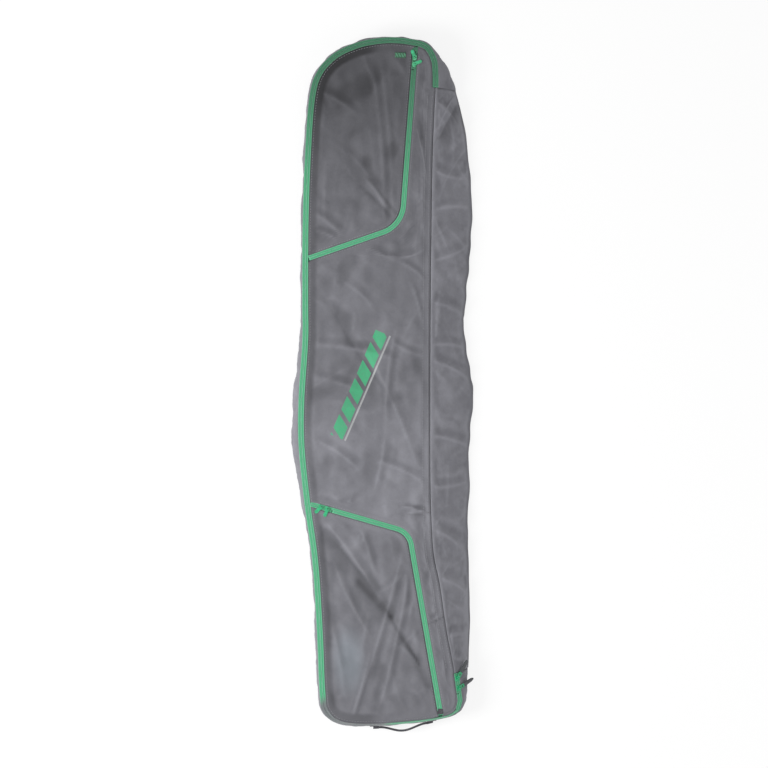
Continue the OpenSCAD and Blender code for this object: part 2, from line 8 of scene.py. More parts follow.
import bmesh
import bpy
import numpy as np
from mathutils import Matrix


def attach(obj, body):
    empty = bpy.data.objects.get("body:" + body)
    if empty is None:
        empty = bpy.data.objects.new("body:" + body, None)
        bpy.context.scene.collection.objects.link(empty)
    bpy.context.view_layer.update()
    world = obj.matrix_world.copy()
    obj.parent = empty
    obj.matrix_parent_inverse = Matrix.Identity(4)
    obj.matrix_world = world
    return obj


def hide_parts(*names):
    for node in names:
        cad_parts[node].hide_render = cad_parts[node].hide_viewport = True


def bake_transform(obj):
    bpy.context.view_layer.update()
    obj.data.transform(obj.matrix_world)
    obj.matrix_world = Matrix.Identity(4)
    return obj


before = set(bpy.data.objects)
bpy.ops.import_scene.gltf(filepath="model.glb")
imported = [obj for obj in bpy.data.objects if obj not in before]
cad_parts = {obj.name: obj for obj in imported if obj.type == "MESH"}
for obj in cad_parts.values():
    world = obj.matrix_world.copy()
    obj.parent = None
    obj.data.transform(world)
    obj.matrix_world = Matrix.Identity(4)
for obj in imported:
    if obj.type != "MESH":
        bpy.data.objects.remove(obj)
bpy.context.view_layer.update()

MM = 0.001
LID_TOP = 58.0  # height of the zips on the lid
CLOTH = 1.4  # thickness of the outer cloth
BACK_CLOTH = 1.2
TAPE_W = 7.0  # half the width of the main zip
POCKET_TAPE_W = 6.0
HEM = 0.4  # gap between a tape and the cloth
FOOT_TILT = 60.0  # turn of the main zip over the foot's edge, in degrees
PARK_TILT = 35.0  # and beside the plain gusset
LID_FIXED = 49.0  # last stretch of the main zip, which stays shut
FLAP_START = 38.0  # first stretch of a pocket's zip, which stays shut
TAPE_REACH = 16.5  # how far a pocket's tape runs on past its zip
DEEPEST = 3.0  # where hollows in the lid level off
JOIN = 55.0  # length over which the zip gusset takes the plain gusset's slope
TUCK = 5.0  # length of the plain gusset under the zip gusset
PAD_INSET = 15.0  # from the main zip's tape to the lid's foam
BACK_INSET = 16.0  # from the fold of the zip gusset to the back's foam
PAD_BOTTOM = 42.5
POCKET_FLOOR = 49.4
PAD_RISE = 3.2  # how far the foam stands above the pockets' floors
BACK_PAD_BOTTOM = 1.9
BACK_PAD_TOP = 7.6
STITCH_GAP = 4.0
SEAM_GAPS = (6, 17)  # from the seam to its two rows of stitches
CLOTH_STEP = 4.2  # spacing of the rows in the lid's cloth
ZIP_STEP = 4.0  # spacing of the sections carried along a zip
PAD_STEP = 8.0  # spacing of the points along a pad's outline
SLACK = 0.02  # share by which the simulated cloth is too large
SLACK_FRAMES = 25
SLACK_MOST = 4.0  # greatest height taken from the simulation

MAIN_POINTS = [
    (123, 713), (123, 744), (119, 780), (100, 811), (62, 822), (18, 826), (-28, 822),
    (-68, 812), (-114, 790), (-151, 752), (-170, 698), (-180, 583), (-187, 400), (-188, 205),
    (-188, 110), (-197, -30), (-197, -140), (-183, -280), (-164, -420), (-153, -590),
    (-147, -730), (-138, -778), (-104, -804), (-30, -810), (80, -802), (150, -790), (176, -775),
]
MAIN_PARK = [(182, -752), (173, -686)]
SEAM_POINTS = [
    (168, -686), (160, -640), (150, -590), (132, -470), (118, -400), (111, -272),
    (110, -60), (111, 205), (114, 480), (118, 620), (123, 713),
]
EDGE_POINTS = [
    (203, -680), (205, -640), (207, -535), (202, -335), (207, -250), (205, -160), (216, -20),
    (209, 30), (192, 150), (196, 190), (211, 370), (212, 440), (201, 580), (187, 660), (173, 711),
]
UPPER_POINTS = [(74, 794), (43, 383), (-164, 311)]
LOWER_POINTS = [(-160, -286), (60, -349), (133, -770)]
POCKET_NOSE_X = 78  # where the upper pocket's outline leaves the nose
UPPER_END_Y, LOWER_END_Y = UPPER_POINTS[-1][1], LOWER_POINTS[0][1]
UPPER_RADIUS = 74
LOWER_RADIUS = 48
ARC_STEPS = 14
WAVES = 14
WEAR_AND_SHADE_GAIN = 14.0  # turns the bend of the cloth into paler ridges as wear and darker hollows as painted shade
PAD_EDGE = 6.0  # radius of a pad's edge
HANDLE_ENDS = np.array([(-12, -821.9), (104, -811.5)])
HANDLE_Z = 20.5
HANDLE_BOW = 6.4  # half the depth of the strap's arc
UPPER_FOLD = [(71.14, 756.11), (-164, 311)]
LOWER_FOLD = [(-123.47, -296.46), (133, -770)]
PLAIN_NOSE, PLAIN_FOOT = 713, -686  # y at which the plain gusset ends


# ---- lines in the plane

def unit(v):
    """The vector at length 1."""
    return v / np.linalg.norm(v)


def cubic(p, i, t):
    """Catmull-Rom curve: at t from 0 to 1 between point i and the next a cubic, whose slope at a
    point is half the step between that point's neighbours."""
    a, b = p[np.maximum(i - 1, 0)], p[i]
    c, d = p[i + 1], p[np.minimum(i + 2, len(p) - 1)]
    return 0.5 * (
        2 * b + (c - a) * t + (2 * a - 5 * b + 4 * c - d) * t**2 + (3 * b - a - 3 * c + d) * t**3
    )


def curve(points, steps):
    """A smooth path through points, with that many steps between two of them."""
    p = np.asarray(points, float)
    t = (np.arange(steps) / steps)[None, :, None]
    return np.vstack([cubic(p, np.arange(len(p) - 1)[:, None], t).reshape(-1, 2), p[-1:]])


def rounded(points, radius):
    """Two straight lines joined by an arc of that radius, tangent to both."""
    start, corner, end = np.asarray(points, float)
    a, b = unit(start - corner), unit(end - corner)
    half = np.arccos(a @ b) / 2
    centre = corner + unit(a + b) * radius / np.sin(half)
    first = corner + a * radius / np.tan(half) - centre
    last = corner + b * radius / np.tan(half) - centre
    turn = np.pi - 2 * half
    t = np.linspace(0, 1, ARC_STEPS + 1)[:, None]
    arc = (np.sin((1 - t) * turn) * first + np.sin(t * turn) * last) / np.sin(turn)
    return np.vstack([start, centre + arc, end])


def measured(path):
    """Distance along the path at each of its points."""
    return np.r_[0, np.cumsum(np.linalg.norm(np.diff(path, axis=0), axis=1))]


def evenly(path, spacing):
    """The same path with points at equal steps along it."""
    at = measured(path)
    steps = np.linspace(0, at[-1], max(2, int(round(at[-1] / spacing)) + 1))
    return np.column_stack([np.interp(steps, at, path[:, k]) for k in range(path.shape[1])])


def part_of(path, start, end):
    """The stretch of a path between two distances along it."""
    at = measured(path)
    end = at[-1] + end if end <= 0 else end
    inner = path[(at > start + 0.01) & (at < end - 0.01)]
    ends = np.array([[np.interp(s, at, path[:, k]) for k in (0, 1)] for s in (start, end)])
    return np.vstack([ends[:1], inner, ends[1:]])


def right_of(path):
    """Unit vectors to the right of the path, square to the line between each point's neighbours."""
    ahead = np.gradient(path, axis=0)
    ahead /= np.linalg.norm(ahead, axis=1)[:, None]
    return np.column_stack([ahead[:, 1], -ahead[:, 0]])


def beside(path, offset):
    """The path moved to its right by offset."""
    return path + right_of(path) * offset


def smooth(x):
    """0 below 0 and 1 above 1, with an S-shaped cubic between."""
    t = np.clip(x, 0, 1)
    return t * t * (3 - 2 * t)


def main_tilt(path):
    """Turn of the main zip about its own line, in radians: none on the nose half, and growing with
    the part of its right-hand side that points to the foot or to the plain gusset."""
    n = right_of(path)
    turned = FOOT_TILT * np.maximum(0, -n[:, 1]) ** 2 + PARK_TILT * np.maximum(0, n[:, 0])
    return np.radians(np.where(path[:, 1] > 0, 0, turned))


def level(path):
    """The tilt of a zip that lies flat."""
    return np.zeros(len(path))


def nearest(xy, path):
    """Distance of each point from the nearest segment of a path, and the side of that segment on
    which it lies: 1 for left and -1 for right."""
    flat = xy.reshape(-1, 2)
    best, side = np.full(len(flat), np.inf), np.zeros(len(flat))
    for start, step in zip(path[:-1], np.diff(path, axis=0)):
        gap = flat - start
        t = np.clip(gap @ step / (step @ step), 0, 1)
        far = np.linalg.norm(gap - t[:, None] * step, axis=1)
        side = np.where(far < best, np.sign(step[0] * gap[:, 1] - step[1] * gap[:, 0]), side)
        best = np.minimum(best, far)
    return best.reshape(xy.shape[:-1]), side.reshape(xy.shape[:-1])


def distance(xy, path):
    """Distance of each point from a path."""
    return nearest(xy, path)[0]


def reaching(path, reach):
    """A path lengthened in a straight line at both ends."""
    return np.vstack([path[0] + unit(path[0] - path[1]) * reach, path,
                      path[-1] + unit(path[-1] - path[-2]) * reach])


main_zip = np.vstack([curve(MAIN_POINTS, 10), MAIN_PARK])
upper_zip = rounded(UPPER_POINTS, UPPER_RADIUS)
lower_zip = rounded(LOWER_POINTS, LOWER_RADIUS)
seam = curve(SEAM_POINTS, 8)
edge = curve(EDGE_POINTS, 8)


# ---- the cloth's relief

# Creases as start, end, height, width across and bow to the side.
CREASES = [
    ((-30, 779), (2, 385), 2.2, 8, 7), ((-8, 770), (20, 420), 1.4, 6, 5),
    ((30, 140), (5, -85), 2.4, 8, -8), ((5, -85), (-24, -252), 1.8, 8, 5),
    ((48, -382), (-74, -788), 2.6, 8, 6), ((66, -404), (-5, -750), 2.2, 7, 5),
    ((-45, 338), (98, 326), 3.6, 9, -26), ((20, 300), (100, 250), 1.8, 7, 8),
    ((-176, 415), (-100, 352), 2.6, 9, 8), ((-168, 372), (-96, 338), 2.0, 7, 5),
    ((-48, 500), (2, 410), 2.8, 10, 9), ((-90, 560), (-20, 470), 1.8, 9, 6),
    ((-178, 98), (38, 60), 2.6, 9, 9), ((20, 105), (100, 72), 2.0, 7, -6),
    ((-170, 20), (-40, -20), 1.6, 8, 6), ((46, -290), (108, -306), 3.4, 5, 3),
    ((-142, -322), (14, -560), 2.6, 9, 10), ((-120, -420), (-30, -600), 1.8, 8, -7),
    ((36, -618), (108, -728), 4.2, 14, 12), ((96, -552), (122, -572), 2.6, 6, 3),
    ((-60, -330), (-20, -470), 1.6, 7, 5), ((-128, -560), (-96, -740), 1.6, 7, 5),
    ((-150, 700), (-60, 640), 1.8, 8, 7), ((-60, 800), (-20, 700), 1.6, 8, 5),
    ((-165, -130), (-60, -200), 2.0, 9, 7), ((-20, -180), (96, -232), 1.8, 8, 7),
    ((70, 640), (104, 480), 1.6, 6, 4), ((62, 250), (98, 120), 1.6, 6, 4),
    ((104, -420), (60, -560), 1.6, 7, -5), ((-100, 250), (-30, 190), 1.6, 8, 6),
    ((-169, -320), (16, -552), -6.0, 20, 8), ((46, -607), (102, -720), -7.0, 18, 8),
    ((47, -306), (109, -299), 2.6, 5, 2), ((102, -566), (147, -545), 2.6, 5, 2),
    ((-32, -629), (-78, -793), 1.8, 5, 3), ((-60, 480), (45, 360), -5.5, 16, 8),
    ((-120, 180), (30, -40), -3.0, 20, -10), ((-60, 120), (80, -190), 2.4, 12, 8),
]
GUSSET_CREASES = [
    ((176, 704), (132, 606), 6.0, 14, -8), ((116, -344), (194, -398), 4.0, 12, 8),
    ((134, -462), (196, -500), 4.2, 13, 8), ((112, 60), (206, 14), 3.2, 10, 7),
    ((114, 98), (196, 90), 2.6, 9, 6), ((112, 300), (206, 340), 2.4, 10, -7),
    ((112, 200), (192, 170), 2.8, 10, 6), ((114, 520), (200, 500), 2.8, 11, -8),
    ((112, -120), (210, -150), 2.8, 10, 7), ((112, -240), (200, -230), 2.2, 9, -6),
    ((150, -600), (204, -600), 3.2, 10, 6), ((160, -650), (202, -672), 2.6, 9, 4),
    ((124, 680), (180, 620), 3.0, 9, 6), ((116, 420), (206, 430), 2.0, 9, 5),
    ((173, 703), (133, 605), -6.5, 18, -8),
]

# Sharp folds whose inner side stays in shadow, as start, end and width, and one on the gusset
# whose shadow spreads towards the foot, as start, end and reach.
DARK_FOLDS = [
    ((47, -309), (109, -302), 2.2), ((104, -569), (147, -549), 2.2), ((-35, 493), (28, 413), 4.0),
    ((50, -607), (104, -716), 9.0), ((16, -552), (46, -607), 6.0), ((-60, -470), (16, -552), 9.0),
]
GUSSET_SHADOW = ((175, 684), (127, 592), 50.0)

# Where sliders and pulls lie, as x, y and reach.
PULL_PLACES = [(70, 786, 18), (-146, -296, 20), (186, -694, 26)]


def crease(xy, start, end, height, width, bow):
    """A sharp ridge with a hollow beside it. Across the line the ridge falls off exponentially and
    the hollow is a bell curve; along it both swell and fade as the root of a half sine."""
    start, along = np.array(start, float), np.subtract(end, start)
    length = np.linalg.norm(along)
    along = along / length
    t = np.clip((xy - start) @ along / length, 0, 1)
    across = (xy - start) @ np.array([-along[1], along[0]]) - 4 * bow * t * (1 - t)
    past = np.maximum(0, np.abs((xy - start) @ along / length - 0.5) - 0.5) * length
    q = np.hypot(across, past) / width * np.where(across < 0, -1, 1)
    shape = np.exp(-1.2 * np.abs(q)) - 0.75 * np.exp(-(((q - 1.7) / 1.1) ** 2))
    return height * np.sqrt(np.sin(np.pi * t) * 0.98 + 0.02) * shape * (past < 4 * width)


def scattered(count, low, high, seed):
    """Small creases at seeded places between two corners, mostly along the bag."""
    rng = np.random.default_rng(seed)
    place = rng.uniform(low, high, (count, 2))
    turn = np.radians(90 + rng.normal(0, 34, count))
    reach = rng.uniform(25, 90, count)[:, None] * np.column_stack([np.cos(turn), np.sin(turn)])
    sizes = rng.uniform((0.4, 6, -10), (1.3, 13, 10), (count, 3))
    return [(a, b, *s) for a, b, s in zip(place - reach, place + reach, sizes)]


SMALL_CREASES = scattered(46, (-180, -790), (110, 810), 11)
GUSSET_SMALL = scattered(26, (110, -690), (210, 700), 12)


def ripples(x, y, wavelength, seed):
    """Sum of sine waves with seeded headings and phases around one wavelength, mostly from -1
    to 1."""
    rng = np.random.default_rng(seed)
    turn, phase = rng.uniform(0, 2 * np.pi, (2, WAVES))
    k = 2 * np.pi / (wavelength * rng.uniform(0.7, 1.5, WAVES))
    waves = [np.sin(k[i] * (x * np.cos(turn[i]) + y * np.sin(turn[i])) + phase[i])
             for i in range(WAVES)]
    return np.sum(waves, axis=0) / np.sqrt(WAVES * 2)


def slack_cloth():
    """Height of a sheet of cloth that is a little too large between its zips and seams.

    A grid with faint ripples is pinned along them and simulated without weight, with rest lengths
    2 % longer than the grid, so that it buckles. Returns its x and y lines and its height at each
    crossing, in millimetres, clipped and half smoothed over three by three points."""
    xs, ys = np.arange(-204, 222, 8.0), np.arange(-838, 846, 8.0)
    x, y = np.meshgrid(xs, ys)
    xy = np.dstack([x, y])
    sheet = mesh("slack_sheet", np.dstack([x, y, 0.8 * ripples(x, y, 70, 3)]))
    lines = [evenly(p, 30) for p in (main_zip, upper_zip, lower_zip, seam, edge)]
    near = np.min([distance(xy, p) for p in lines], axis=0)
    held = sheet.vertex_groups.new(name="held")
    held.add(np.flatnonzero(near.ravel() < 9).tolist(), 1.0, "REPLACE")
    cloth = sheet.modifiers.new("cloth", "CLOTH").settings
    cloth.quality = 6
    cloth.mass = 0.4
    cloth.tension_stiffness = cloth.compression_stiffness = 25
    cloth.shear_stiffness = 12
    cloth.bending_stiffness = 2.0
    cloth.vertex_group_mass = "held"
    cloth.shrink_min = -SLACK
    cloth.effector_weights.gravity = 0.0
    scene = bpy.context.scene
    for number in range(1, SLACK_FRAMES + 1):
        scene.frame_set(number)
    shape = sheet.evaluated_get(bpy.context.evaluated_depsgraph_get()).to_mesh()
    place = np.empty(len(shape.vertices) * 3)
    shape.vertices.foreach_get("co", place)
    bpy.data.objects.remove(sheet)
    scene.frame_set(1)
    height = np.clip(place.reshape(len(ys), len(xs), 3)[..., 2] / MM, -SLACK_MOST, SLACK_MOST)
    wide = np.pad(height, 1, mode="edge")
    soft = sum(wide[r:r + len(ys), c:c + len(xs)] for r in range(3) for c in range(3)) / 9
    return xs, ys, (height + soft) / 2


def sampled(field, xy):
    """A field of heights read between its grid lines, by linear steps in x and in y."""
    xs, ys, height = field
    col = np.clip((xy[..., 0] - xs[0]) / (xs[1] - xs[0]), 0, len(xs) - 1.001)
    row = np.clip((xy[..., 1] - ys[0]) / (ys[1] - ys[0]), 0, len(ys) - 1.001)
    c, r = col.astype(int), row.astype(int)
    u, v = col - c, row - r
    low = height[r, c] * (1 - u) + height[r, c + 1] * u
    high = height[r + 1, c] * (1 - u) + height[r + 1, c + 1] * u
    return low * (1 - v) + high * v


# ---- meshes

def put(name, data):
    """A new object in the scene."""
    obj = bpy.data.objects.new(name, data)
    bpy.context.scene.collection.objects.link(obj)
    return obj


def put_mesh(name, points, faces):
    """A smooth mesh in the scene, from points in millimetres and their numbers in each face."""
    data = bpy.data.meshes.new(name)
    data.from_pydata((points.reshape(-1, 3) * MM).tolist(), [], faces)
    data.shade_smooth()
    return put(name, data)


def mesh(name, points, uv=None, flip=False, wrap=False, caps=False, weld=False, attributes=None):
    """A surface through a grid of points, rows by columns, in millimetres.

    Each square of the grid is one face, facing along columns x rows, or the other way if flip is
    set. wrap joins the last column to the first, caps closes the two end rows, and weld joins
    points that meet. uv is a grid of millimetres, kept in metres."""
    rows, cols = points.shape[:2]
    r, c = np.meshgrid(np.arange(rows - 1), np.arange(cols if wrap else cols - 1), indexing="ij")
    after = (c + 1) % cols
    quads = np.stack([r * cols + c, r * cols + after, (r + 1) * cols + after, (r + 1) * cols + c])
    faces = quads.reshape(4, -1).T
    faces = (faces[:, ::-1] if flip else faces).tolist()
    if caps:
        ring = list(range(cols))
        last = [(rows - 1) * cols + k for k in ring]
        faces += [ring, last[::-1]] if flip else [ring[::-1], last]
    obj = put_mesh(name, points, faces)
    data = obj.data
    if uv is not None:
        corners = np.empty(len(data.loops), int)
        data.loops.foreach_get("vertex_index", corners)
        flat = (uv.reshape(-1, 2) * MM)[corners]
        data.uv_layers.new(name="cloth").data.foreach_set("uv", flat.ravel())
    for key, values in (attributes or {}).items():
        data.attributes.new(key, "FLOAT", "POINT").data.foreach_set("value", values.ravel())
    if weld:
        bm = bmesh.new()
        bm.from_mesh(data)
        bmesh.ops.remove_doubles(bm, verts=bm.verts, dist=0.00002)
        bmesh.ops.recalc_face_normals(bm, faces=bm.faces)
        bm.to_mesh(data)
        bm.free()
    return obj


def thicken(obj, thickness):
    """Gives a sheet its thickness, away from its outer face."""
    wall = obj.modifiers.new("thickness", "SOLIDIFY")
    wall.thickness = thickness * MM
    wall.offset = -1.0
    return obj


def area_of(points):
    """Area of a grid surface in square metres, from the two diagonals of each square."""
    a = points[1:, 1:] - points[:-1, :-1]
    b = points[1:, :-1] - points[:-1, 1:]
    return float(np.linalg.norm(np.cross(a, b), axis=2).sum() / 2 * MM * MM)


def profile_along(name, path, tilts, section, edge_u=0.0, base_z=LID_TOP, wave=None):
    """A closed section carried along a flat path.

    The section is pairs (u, w): u to the path's right and w up from the zip's face, both turned by
    the tilt. The zip's face is at base_z at its inner edge, which is edge_u to the left. wave
    changes (u, w) along the path. The mesh keeps |u| as a share of its greatest, for materials."""
    n = right_of(path)[:, None]
    turn = np.asarray(tilts)[:, None]
    section = np.asarray(section, float)
    u, w = section[None, :, 0], section[None, :, 1]
    if wave is not None:
        u, w = wave(u, w)
    out = u * np.cos(turn) + w * np.sin(turn)
    z = base_z - (edge_u + u) * np.sin(turn) + w * np.cos(turn)
    points = np.concatenate([path[:, None] + n * out[..., None], z[..., None]], axis=2)
    around = measured(np.vstack([section, section[:1]]))[:-1]
    along = measured(path)
    uv = np.dstack(np.broadcast_arrays(along[:, None], around[None]))
    after = np.roll(section, -1, axis=0)
    area = np.sum(section[:, 0] * after[:, 1] - section[:, 1] * after[:, 0])
    across = np.broadcast_to(np.abs(section[None, :, 0]) / np.abs(section[:, 0]).max(), z.shape)
    return mesh(name, points, uv, flip=area > 0, wrap=True, caps=True,
                attributes={"across": across})


def joined(name, parts):
    """One object from several, which are removed."""
    bm = bmesh.new()
    for part in parts:
        bm.from_mesh(part.data)
    data = bpy.data.meshes.new(name)
    bm.to_mesh(data)
    bm.free()
    for part in parts:
        bpy.data.objects.remove(part)
    return put(name, data)


def span(outline, ys):
    """Left and right x of a closed outline at each y: the least and greatest of its crossings."""
    a, b = outline[:, None], np.roll(outline, -1, axis=0)[:, None]
    rise = b[..., 1] - a[..., 1]
    crosses = (a[..., 1] - ys) * (b[..., 1] - ys) < 0
    with np.errstate(divide="ignore", invalid="ignore"):
        x = a[..., 0] + (ys - a[..., 1]) / rise * (b[..., 0] - a[..., 0])
    x = np.where(crosses, x, np.nan)
    return np.nanmin(x, axis=0), np.nanmax(x, axis=0)


def rows_of(outline, spacing, steps=()):
    """Rows of y across an outline: even, closer at both ends, and close beside each step."""
    low, high = outline[:, 1].min() + 0.05, outline[:, 1].max() - 0.05
    count = int((high - low) / spacing)
    ends = (1 - np.cos(np.linspace(0, np.pi / 2, 10))) * 3 * spacing
    inner = np.linspace(low + 3 * spacing, high - 3 * spacing, count)
    beside_steps = [s + d for s in steps for d in (-0.3, 0.3)]
    return np.unique(np.round(np.r_[low + ends[:-1], inner, high - ends[:-1], beside_steps], 3))


def filled(outline, spacing, columns, steps=()):
    """A grid of (x, y) that fills an outline: each row runs from its left side to its right."""
    ys = rows_of(outline, spacing, steps)
    left, right = span(outline, ys)
    t = np.linspace(0, 1, columns)
    x = left[:, None] * (1 - t) + right[:, None] * t
    return np.dstack([x, np.broadcast_to(ys[:, None], x.shape)])


# ---- where the cloth runs

main_turn = main_tilt(main_zip)
inner_edge = main_zip - right_of(main_zip) * (
    TAPE_W * np.cos(main_turn) + np.sin(main_turn) + HEM)[:, None]
EDGES = [evenly(p, 24) for p in (beside(main_zip, -TAPE_W), upper_zip, lower_zip, seam)]
POCKET_CLEAR = POCKET_TAPE_W + HEM


def first_after(test, start=0):
    """Place of the first true value from start on."""
    return start + int(np.argmax(test[start:]))


# Where the pockets' outlines leave and meet the main zip.
nose_break = first_after(inner_edge[:, 0] < POCKET_NOSE_X)
upper_break = first_after(inner_edge[:, 1] < UPPER_END_Y, nose_break)
lower_break = first_after(inner_edge[:, 1] < LOWER_END_Y, upper_break)
foot_break = first_after(inner_edge[:, 0] > LOWER_POINTS[-1][0], lower_break)
upper_side, lower_side = inner_edge[nose_break:upper_break], inner_edge[lower_break:foot_break]

upper_long, lower_long = reaching(upper_zip, TAPE_REACH - 3), reaching(lower_zip, TAPE_REACH - 3)
lid_outline = np.vstack([
    seam - (HEM, 0),
    inner_edge[:nose_break],
    beside(upper_long, -POCKET_CLEAR),
    inner_edge[upper_break:lower_break],
    beside(lower_long, -POCKET_CLEAR),
    inner_edge[foot_break:],
])
upper_outline = np.vstack([beside(upper_long, POCKET_CLEAR), upper_side[::-1]])
lower_outline = np.vstack([beside(lower_long, POCKET_CLEAR), lower_side[::-1]])

slack = slack_cloth()


def to_edge(xy):
    """Distance of a point of the lid from the nearest tape or seam."""
    main, upper, lower, side = (distance(xy, p) for p in EDGES)
    return np.minimum.reduce([main, upper - POCKET_TAPE_W, lower - POCKET_TAPE_W, side])


def quiet(xy):
    """0 under the parked sliders and their pulls, where the cloth lies flat, and 1 away from them."""
    away = [np.hypot(xy[..., 0] - x, xy[..., 1] - y) - reach for x, y, reach in PULL_PLACES]
    return smooth(np.min(away, axis=0) / 24)


def lid_relief(xy):
    """Height of the lid's cloth above the zips: the simulated slack, creases and soft ripples, all
    fading towards the zips and the pulls, with a low roll and faint puckers just beside the zips.
    Hollows level off before they reach the foam."""
    x, y = xy[..., 0], xy[..., 1]
    near = to_edge(xy)
    folds = sum(crease(xy, *c) for c in CREASES + SMALL_CREASES)
    loose = 0.5 * sampled(slack, xy) + 1.8 * ripples(x, y, 120, 5) + 0.3 * ripples(x, y, 34, 6)
    loose = loose + 1.3 * ripples(2.2 * x, 0.8 * y, 100, 7)
    fade = smooth(near / 26) * quiet(xy)
    pucker = 0.1 * np.sin(2 * np.pi * (x + y) / 19) * np.exp(-((near - 9) / 8) ** 2)
    roll = 1.2 * np.exp(-((near - 5) / 6) ** 2)
    z = fade * (folds + loose + 1.6) + pucker + roll - 1.2 * np.exp(-(near / 1.6) ** 2)
    return np.where(z < 0, -DEEPEST * np.tanh(-z / DEEPEST), z)


def wear_and_shade(xy, z):
    """How far each point stands out of its surroundings, from -1 in a hollow to 1 on a ridge: the
    bend of the surface along both directions of its grid. The cloth is drawn paler on ridges, as
    rubbed wear, and darker in hollows, as painted shade."""
    def bend(axis):
        """Second slope of z along one direction."""
        step = np.maximum(np.linalg.norm(np.gradient(xy, axis=axis), axis=2), 0.5)
        return np.gradient(np.gradient(z, axis=axis) / step, axis=axis) / step
    return np.clip(-(bend(0) + bend(1)) * WEAR_AND_SHADE_GAIN, -1, 1)


def painted_shade(xy):
    """Painted shade on the lid's cloth, as the share of its colour taken away: most at the nose and
    its left side, some towards the foot and in a strip along the left main zip, and painted shadow
    in the dark folds."""
    x, y = xy[..., 0], xy[..., 1]
    nose = 0.06 + 0.18 * smooth((y + 150) / 150)
    nose = nose + 0.34 * smooth((y - 250) / 560) * (1 - 0.6 * smooth((x - 50) / 30))
    left = 0.09 * smooth((y - 450) / 300) * smooth((20 - x) / 150)
    foot = 0.16 * smooth((-330 - y) / 60)
    strip = 0.24 * smooth((24 - distance(xy, EDGES[0])) / 9) * smooth(-x / 40)
    folds = sum(0.24 * np.exp(-(distance(xy, np.array([a, b], float)) / width) ** 2)
                for a, b, width in DARK_FOLDS)
    return nose + left + foot + strip + folds


def gusset_painted_shadow(xy):
    """Painted shadow under the fold near the gusset's nose end, as the share of the light lost: all at
    once at the fold, then less and less over the shadow's reach."""
    start, end, reach = GUSSET_SHADOW
    along = np.subtract(end, start)
    t = (xy - start) @ along / (along @ along)
    side = (xy - start) @ unit(np.array([-along[1], along[0]]))
    inside = smooth(t / 0.15 + 0.3) * smooth((1.1 - t) / 0.25)
    return 0.38 * inside * smooth(side / 5) * smooth((reach - side) / reach)


def lid_piece(name, outline, columns, steps=()):
    """Cloth of the lid or of a pocket: the outline filled with a grid at the lid's relief."""
    xy = filled(outline, CLOTH_STEP, columns, steps)
    z = LID_TOP + lid_relief(xy)
    points = np.dstack([xy, z])
    # Painted shade in the hollows, where the relief sinks below the zips.
    hollow_shade = 0.2 * smooth((LID_TOP + 0.8 - z) / 4) * smooth(to_edge(xy) / 20)
    obj = mesh(name, points, xy, attributes={
        "wear_and_shade": wear_and_shade(xy, z) * smooth(to_edge(xy) / 26), "painted_shade": painted_shade(xy) + hollow_shade})
    return thicken(obj, CLOTH), area_of(points)


def plain_gusset_piece():
    """The plain gusset: rows across from the seam to the outer edge, falling along a rounded
    shoulder, with creases square to that slope. Its nose end is tucked under the zip gusset."""
    rows = 420
    a = evenly(seam, measured(seam)[-1] / rows)[: rows + 1]
    b = evenly(edge, measured(edge)[-1] / rows)[: rows + 1]
    a, b = np.vstack([a, a[-1:] + (0, TUCK)]), np.vstack([b, b[-1:] + (-1.5, TUCK)])
    u = np.linspace(0, 1, 34)[None, :, None]
    xy = a[:, None] * (1 - u) + b[:, None] * u + (0.4, 0)
    share = u[..., 0]
    fall = LID_TOP * (1 - 0.6 * share - 0.4 * share**5)
    x, y = xy[..., 0], xy[..., 1]
    folds = sum(crease(xy, *c) for c in GUSSET_CREASES + GUSSET_SMALL)
    loose = 0.5 * sampled(slack, xy) + 1.8 * ripples(x, y, 110, 8) + 0.25 * ripples(x, y, 30, 9)
    fade = smooth(share / 0.2) * smooth((1 - share) / 0.12) * quiet(xy)
    lift = fade * (folds + loose)
    z = fall + lift - 1.0 * np.exp(-((share * 90) / 2.2) ** 2)
    z = np.maximum(z - 0.8 * smooth((y - seam[-1, 1] + 4) / 5), 1.5)
    out = 1.6 * smooth(share / 0.5) * ripples(x, y, 60, 10)
    points = np.dstack([x + out, y, z])
    uv = np.dstack([share * 100 + 0 * x, y])
    marks = {"wear_and_shade": wear_and_shade(xy, z), "painted_shade": gusset_painted_shadow(xy)}
    obj = mesh("plain_gusset_cloth", points, uv, attributes=marks)
    return thicken(obj, CLOTH), area_of(points)


def gusset_section(path):
    """The zip gusset's section at each point of the main zip, as eight points (u, z): from the
    fold on the floor, out round the bulge and up to the zip.

    The fold lies 8 mm inside the zip, and 85 more along the left side. The bulge stands 11 mm out,
    with 12 more at the left side's middle, 6 less at the foot, and up to 41 more at the nose end
    and 18 at the foot end, where it turns into the plain gusset."""
    n, y = right_of(path), path[:, 1]
    left, foot, right = (np.maximum(0, v) for v in (-n[:, 0], -n[:, 1], n[:, 0]))
    fold = 8 + 85 * left**4 * smooth((690 - y) / 160) * smooth((y + 720) / 160)
    nose_flare, foot_flare = smooth(1 - (y - PLAIN_NOSE) / 100), smooth(1 + (y - PLAIN_FOOT) / 90)
    flare = np.where(y > 0, 41 * nose_flare, 18 * foot_flare)
    bulge = 11 + 12 * left**4 * np.exp(-(((y + 90) / 170) ** 2)) - 6 * foot**2 + right**2 * flare
    turn = main_tilt(path)
    top_u = TAPE_W * np.cos(turn) + 0.3
    top_z = LID_TOP - 2 * TAPE_W * np.sin(turn)
    open_out = smooth((bulge - 16) / 16)
    low, high = (0.3 - 0.2 * open_out) * top_z, (0.65 - 0.35 * open_out) * top_z
    zero = np.zeros_like(y)
    u = [-fold, -fold * 0.5, bulge - 9, bulge - 2.5, bulge, bulge, (bulge + top_u) / 2 + 1.5, top_u]
    z = [zero + 0.3, zero + 0.3, zero + 0.4, 0.35 * low, low, high, (high + top_z) / 2 + 2, top_z]
    return np.stack(u, 1), np.stack(z, 1)


